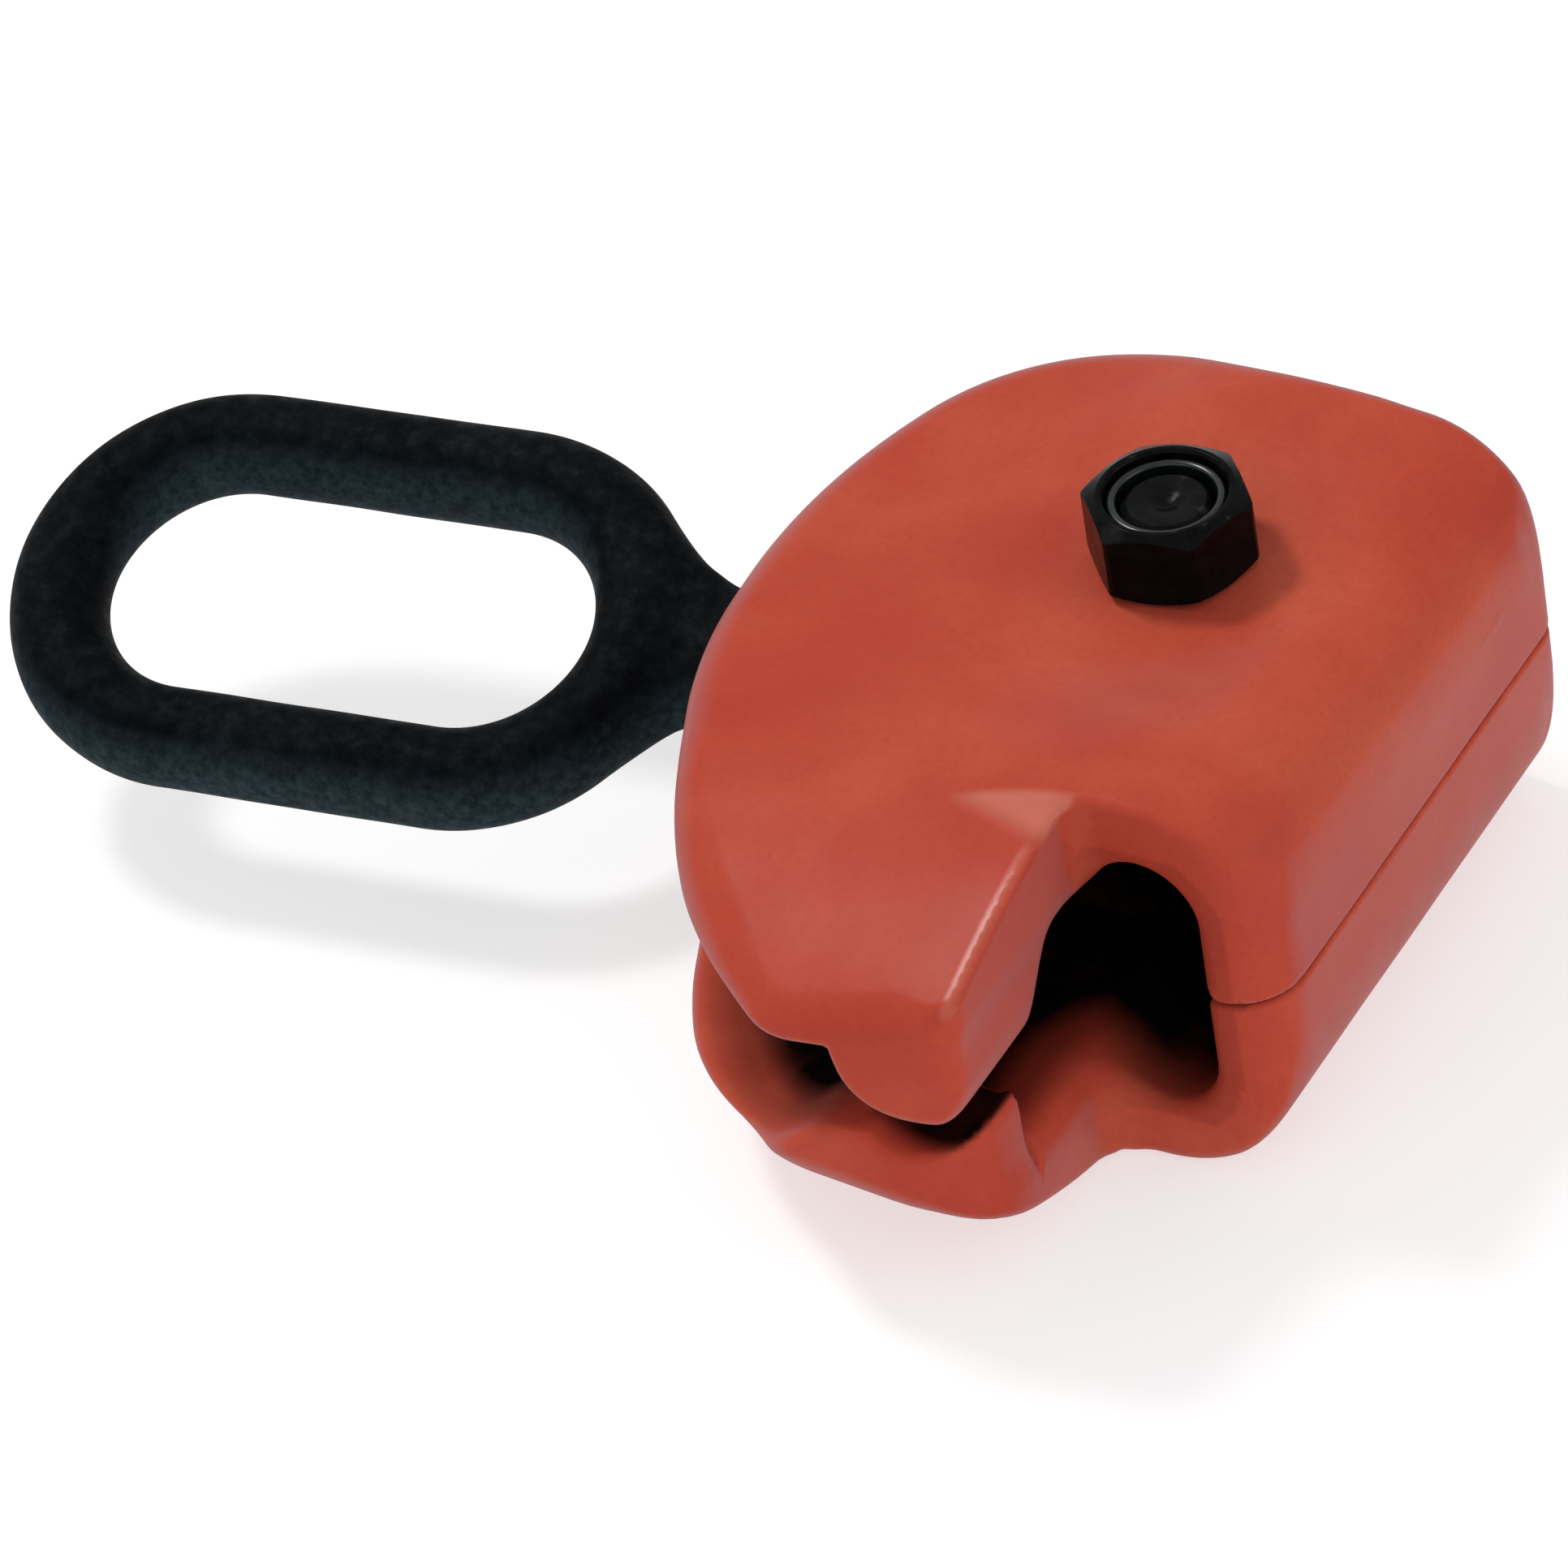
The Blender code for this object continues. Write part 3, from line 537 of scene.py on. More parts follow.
def plain(name, colour, rough, rings=False, metallic=1.0):
    """Lightly mottled metal or plastic, with turning rings if asked."""
    shade = Shader(name)
    mottle = shade.noise(scale=180.0, detail=4.0, rough=0.6)
    dark = tuple(c * 0.72 for c in colour)
    if rings:
        node = shade.add("TexWave", wave_type='RINGS', rings_direction='Z')
        shade.feed(node, {"Scale": 700.0, "Distortion": 0.6, "Vector": shade.coord})
        height = node.outputs["Fac"]
    else:
        height = shade.noise(scale=1200.0, detail=2.0, rough=0.5)
    shade.surface({
        "Base Color": shade.ramp(mottle, [(0.35, dark), (0.65, colour)]),
        "Metallic": metallic,
        "Roughness": shade.remap(mottle, span=(0.3, 0.7), to=(rough - 0.06, rough + 0.10)),
        "Normal": shade.bump(height, strength=0.2, distance=0.00006)})
    return shade.material


ENAMEL_UPPER = enamel("enamel_upper", offset=1)
ENAMEL_LOWER = enamel("enamel_lower", offset=4)
FORGING = black_coat("forging_black")
NUT_OXIDE = oxide("nut_oxide", dark=0.0012, light=0.004, rough=(0.16, 0.30))
BOLT_OXIDE = oxide("bolt_oxide", dark=0.002, light=0.007, rough=(0.22, 0.38))
NYLON = plain("nylon_ring", colour=(0.004, 0.006, 0.007), rough=0.24, metallic=0.0)
BRONZE = plain("bronze_turned", colour=(0.50, 0.31, 0.13), rough=0.30, rings=True)
ZINC = plain("zinc_plate", colour=(0.55, 0.55, 0.52), rough=0.34, rings=True)
WIRE = plain("spring_wire", colour=(0.36, 0.37, 0.38), rough=0.30)
GROUND = plain("ground_steel", colour=(0.58, 0.58, 0.58), rough=0.22)


# ============================================================ shells
# Heights here are measured from the parting plane, outward for each shell.
CROWN_H, CROWN_X = 28.5, 13.0           # dome height; the dome falls off to -X from CROWN_X
RIM_DROP = {UPPER: 7.7, LOWER: 9.2}     # how far it falls
DOME_LEN = {UPPER: 41.2, LOWER: 40.4}   # over what length
SIDE_R = {UPPER: 15.6, LOWER: 18.4}     # rounding down to the +X face
SPINE_X = 34.6                          # +X face
NEAR_Y, FAR_Y = -47.2, 31.7             # ends of the rope channel
LOBE_X, LOBE_Y = 10.4, -79.4            # corner of the lobe beyond the channel's near end
SPLIT = 0.15                            # half the open joint at the parting plane
CUT_H = 13.7                            # the dressed facets go no lower than this
KNOB_X, KNOB_R, KNOB_H = 3.9, 10.2, 1.0     # knob under the upper lobe, clear by KNOB_H
CUP_X, CUP_Z, CUP_R = 3.3, 3.5, 7.9     # lower lobe's cup, its axis CUP_Z past the parting
PIVOT_HOLE_R = 6.3
SEAT_R, SEAT_H = 11.3, 24.58            # round nut seat in the upper shell
SEAT_LAND_H = 24.55                     # the dome is eased down to this around the seat
RECESS_H = 17.2                         # bottom of the bolt head's recess
DOWEL_PLAY, HEAD_PLAY = 0.15, 0.6
SPRING_PIN_HOLE_R, SPRING_PIN_HOLE_H = 1.6, 16.6


def outline(side):
    """Plan outline; the lower shell is a little fuller at the open side."""
    full = 0.0 if side == UPPER else 1.0
    return rounded([            # x, y, corner radius
        (SPINE_X, NEAR_Y, 8.0),
        (SPINE_X, FAR_Y, 4.5),
        (-5.9, FAR_Y + 4.5, 75.0),
        (-38.0, FAR_Y + 11.1, 30.0),
        (-54.2, 1.8, 76.0),
        (-51.9 - 1.3 * full, -30.2 - 0.8 * full, 62.0),
        (-36.5 - 2.0 * full, -65.9 - 1.2 * full, 62.0),
        (-14.3 - 1.6 * full, -82.9 - 0.3 * full, 9.0 + 3.0 * full),
        (LOBE_X, LOBE_Y, 4.5 + 9.5 * full),
        (LOBE_X, NEAR_Y, 3.5 + 2.0 * full)])


def channel_outline():
    """Section of the rope channel in (x, height), with a half-ellipse roof."""
    middle, spring_h, half_width, roof = 17.8, 10.8, 7.2, 7.9
    bottom, foot_h = -30.0, 9.5
    points = [(middle + half_width, bottom), (middle + half_width, spring_h)]
    for k in range(1, 24):
        angle = math.radians(180.0 * k / 24)
        points.append((middle + half_width * math.cos(angle),
                       spring_h + roof * math.sin(angle)))
    return np.array(points + [(middle - half_width, foot_h), (middle - half_width, bottom)])


OUTLINES = {UPPER: outline(UPPER), LOWER: outline(LOWER)}
CHANNEL = channel_outline()


def dome(x, side):
    u = np.maximum(0.0, CROWN_X - x)
    return CROWN_H - RIM_DROP[side] * (1.0 - np.exp(-(u / DOME_LEN[side]) ** 1.5))


def lobe_fall(y, drop):
    """How far the dome has fallen along the near lobe."""
    return drop * (np.maximum(0.0, NEAR_Y + 1.0 - y) / 34.0) ** 1.5


def crown_planes(x, y):
    """Upper near lobe: heights of the small flat at its crest and the long facet below."""
    left = 0.012 * np.maximum(0.0, -6.0 - x) ** 2
    small = 28.3 - 0.34 * (NEAR_Y + 0.6 - y) - 0.067 * (LOBE_X - x) + left
    facet = small - 0.115 * (-55.5 - y + 0.31 * (LOBE_X - x))
    return small, facet


def crown(x, y, side):
    """Height of the shell's outer surface."""
    height = dome(x, side)
    if side == UPPER:
        # the near lobe is dressed back to flat facets under the dome
        height = height - lobe_fall(y, 9.0)
        edge_r = 0.7 + 8.0 * fall(x, 0.0, 16.0)
        small, facet = crown_planes(x, y)
        cut = round_max(-small, -facet, edge_r)
        cut = round_min(cut, -CUT_H, 0.8)
        height = -round_max(-height, cut, edge_r)
        # eased down to a level land around the nut seat
        around = np.hypot(x, np.where(y > 0, 1.45 * y, y))
        height = height - np.maximum(height - SEAT_LAND_H, 0.0) * (1.0 - rise(around, 10.9, 33.0))
        # the far rim runs level across the casting
        height = height + rise(y, 4.0, 20.0) * 0.9 * np.exp(-((x + 7.0) / 12.0) ** 2)
    else:
        height = height - lobe_fall(y, 13.6)
    radius = SIDE_R[side]
    inset = np.clip(SPINE_X - x, 0.0, None)
    arc = np.sqrt(np.maximum(0.0, radius * radius - np.maximum(0.0, radius - inset) ** 2))
    return height - np.where(inset < radius, radius - arc, 0.0)


def gap_wall(x, y, side):
    """Height of the lever gap's wall: flat, but running out over the near bosses."""
    if side == UPPER:
        across = np.clip(np.abs(x - KNOB_X) / KNOB_R, 0.0, 1.0)
        power = 2.3
        knob = KNOB_H + (GAP - KNOB_H) * (1.0 - (1.0 - across ** power) ** (1 / power))
        return blend(GAP, knob, fall(y, -51.5, 10.0))
    length = 9.0 - 6.5 * rise(x, -1.0, 9.0)
    reach = np.hypot(np.maximum(0.0, -4.5 - x) / 24.0, np.maximum(0.0, y + 67.0) / length)
    return GAP - 11.2 * smooth01(1.0 - reach) ** 1.25


def steepness(height, x, y, side, limit):
    """Factor that turns a height difference into a distance."""
    e = 0.02
    gx = (height(x + e, y, side) - height(x - e, y, side)) / (2 * e)
    gy = (height(x, y + e, side) - height(x, y - e, side)) / (2 * e)
    return np.sqrt(1 + np.minimum(gx * gx + gy * gy, limit))


def rim_radius(x, y, side):
    """Rounding between the outline's wall and the crown, which changes along the rim."""
    upper = side == UPPER
    radius = 3.0 + (2.4 if upper else 0.8) * fall(x, 12.0, 36.0)
    if upper:
        radius = blend(radius, 3.6, fall(y, -68.0, 9.0))
    lobe = rise(x, 2.0, 6.0) * fall(y, NEAR_Y - 0.5, 2.0)
    crest_r, tip_r = (0.9, 3.4) if upper else (1.7, 1.7)
    radius = blend(radius, blend(tip_r, crest_r, rise(y, -80.5, 4.0)), lobe)
    front = rise(x, 9.0, 4.0) * fall(y, NEAR_Y + 8.0, 5.0)
    radius = blend(radius, 1.6, front * (1 - lobe))
    spine = rise(x, 28.0, 5.0) * rise(y, NEAR_Y + 3.0, 6.0) * fall(y, FAR_Y - 3.0, 5.0)
    return blend(radius, 1.0, spine)


def hexagon(x, y, flats, turn):
    c, s = math.cos(turn), math.sin(turn)
    u, v = c * x + s * y, -s * x + c * y
    slant = u * math.cos(math.radians(30))
    return np.maximum(np.maximum(np.abs(v), np.abs(slant + v * 0.5)),
                      np.abs(slant - v * 0.5)) - flats / 2


def shell_field(side):
    def columns(x, y):
        mouth = fall(y, NEAR_Y + 3.0, 3.0) + rise(y, FAR_Y - 3.0, 3.0)
        return {"outline": poly_sdf(x, y, OUTLINES[side]),
                "crown": crown(x, y, side),
                "crown_steep": steepness(crown, x, y, side, limit=9.0),
                "rim_r": rim_radius(x, y, side),
                "wall": gap_wall(x, y, side),
                "wall_steep": steepness(gap_wall, x, y, side, limit=12.0),
                "lip_r": 0.9 + 1.3 * np.clip(mouth, 0, 1)}

    def full(x, y, z, col):
        height = side * (z - PARTING_Z)
        f = round_max(col["outline"], (height - col["crown"]) / col["crown_steep"],
                      col["rim_r"])
        from_axis = np.hypot(x, y)
        f = round_max(f, SPLIT - height, 0.55)
        # the lever gap opens into the rope channel
        gap = round_max(x - 12.5, (height - col["wall"]) / col["wall_steep"], 2.2)
        channel = poly_sdf(*np.broadcast_arrays(x, height), CHANNEL)
        f = round_max(f, -round_min(gap, channel, 5.0), col["lip_r"])
        if side == LOWER:
            # the floor sweeps up to the round cup that takes the upper knob
            cup = CUP_R - np.hypot(x - CUP_X, height + CUP_Z)
            f = np.where(y < -55.0, round_max(f, cup, 1.3), f)
        seed = 5 if side == UPPER else 9
        f = f + 0.12 * wave(x, y, z, 26.0, seed) * rise(from_axis, 11.0, 8.0)
        # machined seats and holes
        f = round_max(f, PIVOT_HOLE_R - from_axis, 0.5)
        for dowel_y in DOWELS.values():
            hole = np.maximum(np.hypot(x - DOWEL_X, y - dowel_y) - (DOWEL_R + DOWEL_PLAY),
                              height - (DOWEL_HALF + DOWEL_PLAY))
            f = np.maximum(f, -hole)
        if side == UPPER:
            return np.maximum(f, -np.maximum(from_axis - SEAT_R, SEAT_H - height))
        recess = np.maximum(hexagon(x, y, HEX_FLATS + HEAD_PLAY, BOLT_TURN),
                            RECESS_H - height)
        f = round_max(f, -recess, 0.35)
        to_pin = np.hypot(x - SPRING_PIN[0], y - SPRING_PIN[1])
        hole = np.maximum(to_pin - SPRING_PIN_HOLE_R, height - SPRING_PIN_HOLE_H)
        return np.maximum(f, -hole)
    return Field(columns, full)


def store_attribute(ob, name, values):
    attribute = ob.data.attributes.new(name, 'FLOAT', 'POINT')
    attribute.data.foreach_set("value", np.clip(values, 0, 1).astype(np.float32))


def recess_depth(verts, side):
    """How deep each vertex lies in the rope channel or the lever gap, 0..1; the enamel paints
    shade from it.
    """
    x, y, z = verts.T
    height = side * (z - PARTING_Z)
    edge = poly_sdf(x, y, OUTLINES[side])
    wall = gap_wall(x, y, side)
    in_channel = (x > 7.0) & (x < 30.0) & (height < 20.8)
    in_channel &= poly_sdf(x, height, CHANNEL) < np.where(height < 0.8, 5.0, 4.0)
    from_end = np.minimum(y - NEAR_Y, FAR_Y - y)
    channel = np.where(in_channel, rise(from_end, -4.0, 15.0), 0.0)
    inner = (height < GAP + 4.0) & (x < 16.0) & (height > 0.5) & (edge < -1.5)
    inner &= (height < wall + 1.2) | (x > 9.0)
    passage = rise(y, NEAR_Y - 3.0, 14.0) * rise(x, 1.0, 6.0)
    channel = np.maximum(channel, np.where(inner, passage, 0.0))
    off_boss = 1 - rise(x, -9.0, 4.0) * fall(y, -60.0, 4.0)
    gap = np.where(inner, fall(edge, -2.5, 10.0) * off_boss, 0.0)
    if side == LOWER:
        lip = fall(edge, -0.6, 6.0) * fall(height, wall + 2.2, 1.2) * (x < 16.0) * off_boss
        gap = np.maximum(gap, 0.42 * lip)
        # painted shade inside the lower cup, under the upper knob
        off_cup = np.abs(np.hypot(x - CUP_X, height + CUP_Z) - CUP_R)
        cup = 0.95 * (1.0 - rise(off_cup, 0.25, 0.8)) * rise(y, -79.3, 4.0)
        gap = np.where(y < -60.0, np.maximum(gap, cup), gap)
    else:
        # painted shade under the upper lobe's near end
        gap = np.where(inner & (y < -60.0), np.maximum(gap, 0.55 * rise(y, -82.0, 8.0)), gap)
    return np.maximum(channel, gap)


def highlight_mask(verts, side):
    """Painted highlight with a glossier coat: the flat at the crest of the upper near lobe and
    the ridge below it.
    """
    if side == LOWER:
        return np.zeros(len(verts))
    x, y, z = verts.T
    height = z - PARTING_Z
    domed = dome(x, side) - lobe_fall(y, 9.0)
    small, facet = crown_planes(x, y)
    flat = rise(domed - small, -0.05, 0.45) * rise(facet - small, -0.1, 0.5)
    flat = flat * fall(x, 11.5, 1.0) * rise(x, -9.0, 8.0)
    over = height - crown(x, y, side)
    ridge = (1.0 - rise(np.abs(x - 9.3), 0.35, 0.7)) * rise(y, -81.0, 3.0) * fall(y, -54.0, 3.0)
    painted_highlight = np.maximum(flat * rise(over, -1.3, 0.5), 0.55 * ridge * rise(over, -1.6, 0.6))
    return painted_highlight * rise(height, 10.0, 2.0)


def shell(side, name, mat, z_range, replaced):
    verts, quads = surface_nets(shell_field(side), (-58.5, -85.0, PARTING_Z + z_range[0]),
                                (36.5, 41.5, PARTING_Z + z_range[1]), SHELL_CELL)
    ob = quad_object(name, verts, quads, mat)
    # masks for the shade painted into the recesses and the highlight painted on the near lobe
    store_attribute(ob, "depth", recess_depth(verts, side))
    store_attribute(ob, "painted_highlight", highlight_mask(verts, side))
    register(ob, replaced)


shell(UPPER, "upper_shell_casting", ENAMEL_UPPER, (-2.5, 30.5), "upper_shell")
shell(LOWER, "lower_shell_casting", ENAMEL_LOWER, (-30.5, 4.0), "lower_shell")


# ============================================================ cam lever
HUB_BORE = 7.6
HUB_MID, HUB_HALF = 1.7, 7.7            # hub's middle above the parting plane, half height
CAM_R0, CAM_GROW, CAM_SPAN = 9.4, 9.5, 60.0     # radius grows by CAM_GROW over CAM_SPAN deg
TOOTH, TOOTH_PITCH = 0.7, 1.7
SHANK_DEG, EYE_DIST = 189.7, 113.0      # direction and distance of the eye from the pivot
EYE_DEG = 187.5                         # direction of the eye's long axis
EYE_R, EYE_STRAIGHT, BAR_R = 21.8, 36.1, 6.55   # end radius, straight length, bar radius
EYE_TWIST = math.radians(20.0)


def cam_radius(degrees):
    if degrees > 0:
        return CAM_R0 + 3.4 * min(1.0, degrees / 100.0)
    return CAM_R0 + CAM_GROW * min(1.0, -degrees / CAM_SPAN)


def cam_outline():
    """Toothed cam face, plain back, then a run out to the nose."""
    points = []
    degrees = -CAM_SPAN
    while degrees < 8.0:
        radius = cam_radius(degrees)
        points.append(polar(radius, degrees))
        step = math.degrees(TOOTH_PITCH / radius)
        root = degrees + step * 0.45
        points.append(polar(cam_radius(root) - TOOTH, root))
        degrees += step
    while degrees < 150.0:
        points.append(polar(cam_radius(degrees), degrees))
        degrees += 5.0
    back_r = 14.0
    for k in range(16):
        t = k / 16
        points.append(polar(back_r + (CAM_R0 + CAM_GROW - back_r) * t ** 1.3, 232.0 + 68.0 * t))
    return np.array(points)


CAM = cam_outline()
shank_x, shank_y = polar(1.0, SHANK_DEG)
eye_x, eye_y = polar(1.0, EYE_DEG)
SHANK_CORNERS = (       # along the shank, across it, corner radius
    (0.0, -12.4, 5), (18.0, -11.0, 20), (44.0, -8.0, 30), (61.5, -7.6, 10),
    (74.0, -13.6, 0), (75.5, 0.0, 0), (74.0, 13.4, 0),
    (61.5, 8.4, 12), (44.0, 8.0, 30), (18.0, 11.5, 20), (0.0, 12.4, 5))
SHANK = rounded([(u * shank_x - v * shank_y, u * shank_y + v * shank_x, radius)
                 for u, v, radius in SHANK_CORNERS])


def lever_columns(x, y):
    return {"shank": poly_sdf(x, y, SHANK), "cam": poly_sdf(x, y, CAM),
            "from_axis": np.hypot(x, y)}


def lever_full(x, y, z, col):
    from_axis = col["from_axis"]
    height = z - PARTING_Z
    # the eye: a round bar bent to a long ring, twisted about its long axis
    dx, dy = x - EYE_DIST * shank_x, y - EYE_DIST * shank_y
    along = dx * eye_x + dy * eye_y
    across = dx * -eye_y + dy * eye_x
    in_plane = across * math.cos(EYE_TWIST) - height * math.sin(EYE_TWIST)
    off_plane = across * math.sin(EYE_TWIST) + height * math.cos(EYE_TWIST)
    beyond = np.maximum(np.abs(along) - EYE_STRAIGHT / 2, 0)
    ring = np.hypot(np.hypot(beyond, in_plane) - EYE_R, off_plane) - BAR_R
    # the shank's flat section turns with the eye where it runs out into the bar
    lean = rise(x * shank_x + y * shank_y, 50.0, 22.0)
    tilted = np.abs(height + across * math.tan(EYE_TWIST) * lean)
    shank = round_max(col["shank"], tilted - 5.8 + 0.8 * lean, 4.6)
    hub = round_max(col["cam"], np.abs(height - HUB_MID) - HUB_HALF, 0.45)
    f = round_min(shank, ring, 3.0)
    f = round_min(f, hub, 2.5)
    f = f + 0.16 * wave(x, y, z, 13.0, 21) * rise(from_axis, 14.0, 10.0)
    # bore, spring hole and flat underside are cut last, so they stay clean
    f = round_max(f, HUB_BORE - from_axis, 0.4)
    to_hole = np.hypot(x - SPRING_END[0], y - SPRING_END[1])
    f = np.maximum(f, -np.maximum(to_hole - 1.0, z - (LEVER_BASE + 4.5)))
    return np.maximum(f, np.where(from_axis < 22.0, LEVER_BASE - z, -9.0))


verts, quads = surface_nets(Field(lever_columns, lever_full), (-161, -56, 5), (21, 20, 45),
                            LEVER_CELL)
lever = quad_object("cam_lever_forging", verts, quads, FORGING)
register(lever, "cam_lever", part="cam_lever")


# ============================================================ turned and hexagon parts
def ring_of(bm, radii, z, turn=0.0):
    """A level ring of vertices, one for each radius."""
    row = []
    for k, r in enumerate(radii):
        angle = 2 * math.pi * k / len(radii) + turn
        row.append(bm.verts.new((r * math.cos(angle) * MM, r * math.sin(angle) * MM, z * MM)))
    return row


def bridge(bm, rows):
    for low, high in zip(rows, rows[1:]):
        for k in range(len(low)):
            j = (k + 1) % len(low)
            bm.faces.new((low[k], low[j], high[j], high[k]))


def closed_object(name, bm, mat=None, sharp=35.0):
    bmesh.ops.recalc_face_normals(bm, faces=bm.faces)
    return bmesh_object(name, bm, mat, sharp)


def lathe(name, profile, mat, seg=128):
    """Closed ring from a (radius, z) loop."""
    bm = bmesh.new()
    rows = []
    for k in range(seg):
        c, s = math.cos(2 * math.pi * k / seg), math.sin(2 * math.pi * k / seg)
        rows.append([bm.verts.new((r * c * MM, r * s * MM, z * MM)) for r, z in profile])
    for k in range(seg):
        a, b = rows[k], rows[(k + 1) % seg]
        for i in range(len(profile)):
            j = (i + 1) % len(profile)
            bm.faces.new((a[i], b[i], b[j], a[j]))
    return closed_object(name, bm, mat)


def solid_turn(name, profile, mat=None, seg=128):
    """Solid of revolution: the (radius, z) profile starts and ends on the axis."""
    bm = bmesh.new()
    bottom = bm.verts.new((0, 0, profile[0][1] * MM))
    top = bm.verts.new((0, 0, profile[-1][1] * MM))
    rows = [ring_of(bm, [r] * seg, z) for r, z in profile[1:-1]]
    for k in range(seg):
        j = (k + 1) % seg
        bm.faces.new((bottom, rows[0][j], rows[0][k]))
        bm.faces.new((top, rows[-1][k], rows[-1][j]))
    bridge(bm, rows)
    return closed_object(name, bm, mat)


def hex_prism(name, z0, z1, turn, cham_top, mat):
    """Hexagon whose corners are cut back by a cone below, and above if asked."""
    seg = 180
    corner_r = HEX_FLATS / math.sqrt(3) - 0.22      # corners are slightly blunted
    face_r = HEX_FLATS / 2 - (0.95 if cham_top else 0.35)
    slope = math.tan(math.radians(30))

    def radius(angle, z):
        w = (angle - turn) % (math.pi / 3) - math.pi / 6
        r = min((HEX_FLATS / 2) / math.cos(w), corner_r)
        if cham_top:
            r = min(r, face_r + (z1 - z) / slope)
        return min(r, face_r + (z - z0) / slope)

    # levels are finer near a chamfer so that its scallops are round
    levels = [z0 + (z1 - z0) * k / 10 for k in range(11)]
    levels += [z0 + 0.14 * k for k in range(14)]
    if cham_top:
        levels += [z1 - 0.14 * k for k in range(14)]
    angles = [2 * math.pi * k / seg + turn for k in range(seg)]
    bm = bmesh.new()
    rows = [ring_of(bm, [radius(angle, z) for angle in angles], z, turn)
            for z in sorted(set(levels))]
    bridge(bm, rows)
    bm.faces.new(list(reversed(rows[0])))
    bm.faces.new(rows[-1])
    return closed_object(name, bm, mat, sharp=24.0)


def boolean(ob, tool, operation, sharp):
    """Apply an exact boolean and remove the tool."""
    modifier = ob.modifiers.new("boolean", 'BOOLEAN')
    modifier.operation = operation
    modifier.solver = 'EXACT'
    modifier.object = tool
    bpy.context.view_layer.update()
    depsgraph = bpy.context.evaluated_depsgraph_get()
    mesh = bpy.data.meshes.new_from_object(ob.evaluated_get(depsgraph))
    ob.modifiers.clear()
    ob.data = mesh
    bpy.data.objects.remove(tool, do_unlink=True)
    smooth_with_creases(ob.data, sharp)


# ------------------------------------------------------------ lock nut and its insert
NUT_Z, NUT_H = 49.6, 10.8
NUT_TOP = NUT_Z + NUT_H
THREAD_BORE_R = 6.2
nut = hex_prism("lock_nut_hex", NUT_Z, NUT_TOP, math.radians(12.8), True, NUT_OXIDE)
bore = solid_turn("bore", [     # radius, z
    (0, NUT_Z - 2), (7.4, NUT_Z - 2), (7.4, NUT_Z), (THREAD_BORE_R, NUT_Z + 1.0),
    (THREAD_BORE_R, NUT_TOP - 3.6), (7.7, NUT_TOP - 3.6), (7.7, NUT_TOP - 0.45),
    (8.0, NUT_TOP), (8.0, NUT_TOP + 2), (0, NUT_TOP + 2)])
boolean(nut, bore, 'DIFFERENCE', sharp=24)
bevel = nut.modifiers.new("edge", 'BEVEL')
bevel.width = 0.18 * MM
bevel.segments = 2
bevel.limit_method = 'ANGLE'
bevel.angle_limit = math.radians(26)
register(nut, "lock_nut")

INSERT_PROFILE = (      # radius, height over the insert's base
    (THREAD_BORE_R, 0), (7.4, 0), (7.4, 2.05), (7.25, 2.25), (7.0, 2.4), (6.7, 2.4),
    (6.4, 2.3), (6.25, 2.1), (THREAD_BORE_R, 1.9))
insert = lathe("nut_insert_ring", [(r, NUT_TOP - 3.3 + z) for r, z in INSERT_PROFILE], NYLON)
register(insert, "nut_insert")


# ------------------------------------------------------------ pivot bolt
def threaded_shank(name, radius, z0, z1, thread_z, pitch, depth):
    """Closed round shank with a helical thread above thread_z."""
    seg = 72
    levels = list(np.linspace(z0, thread_z, 8))[:-1]
    levels += list(np.arange(thread_z, z1 - 1e-6, pitch / 10)) + [z1]

    def thread_radius(k, z):
        r = radius
        if z > thread_z:
            groove = abs(2 * ((z / pitch - k / seg) % 1.0) - 1)
            groove = min(1.0, max(0.0, groove * 1.25 - 0.1))
            r = radius - depth * groove * min(1.0, (z - thread_z) / pitch)
        return min(r, radius - 1.0 + max(0.0, z1 - z))      # 1 mm end chamfer

    bm = bmesh.new()
    rows = [ring_of(bm, [thread_radius(k, z) for k in range(seg)], z) for z in levels]
    bridge(bm, rows)
    bm.faces.new(list(reversed(rows[0])))
    # the cut end: a shallow centre dimple, as (radius, z below the end)
    last = rows[-1]
    for r, dz in ((4.3, -0.02), (2.2, -0.10), (1.5, -0.45), (0.5, -0.9)):
        row = ring_of(bm, [r] * seg, z1 + dz)
        bridge(bm, [last, row])
        last = row
    bm.faces.new(last)
    return closed_object(name, bm, sharp=50.0)


bolt = hex_prism("pivot_bolt_steel", 0.0, 7.5, BOLT_TURN, False, BOLT_OXIDE)
shank = threaded_shank("shank", radius=5.9, z0=6.5, z1=NUT_TOP - 1.6, thread_z=40.0,
                       pitch=1.75, depth=0.75)
boolean(bolt, shank, 'UNION', sharp=28)
register(bolt, "pivot_bolt")

# ------------------------------------------------------------ sleeve and thrust washers
WIRE_R = 0.55
SPRING_TOP, SPRING_LOW = PARTING_Z - 6.85, PARTING_Z - 9.15     # wire centre, coil's ends
low, high = PARTING_Z - 11.0, PARTING_Z + 11.0
sleeve = lathe("pivot_sleeve_turned", [
    (6.25, low + .3), (6.55, low), (7.0, low), (7.3, low + .3),
    (7.3, high - .3), (7.0, high), (6.55, high), (6.25, high - .3)], BRONZE)
register(sleeve, "pivot_sleeve")

for tag, z0, z1 in (("upper", PARTING_Z + 9.7, high),
                    ("lower", low, SPRING_LOW - WIRE_R - 0.3)):
    washer = lathe("thrust_washer_%s_turned" % tag, [
        (7.75, z0), (11.6, z0), (11.8, z0 + .12), (11.9, z0 + .3), (11.9, z1 - .3),
        (11.8, z1 - .12), (11.6, z1), (7.75, z1), (7.6, z1 - .15), (7.6, z0 + .15)], ZINC)
    register(washer, "thrust_washer_" + tag)


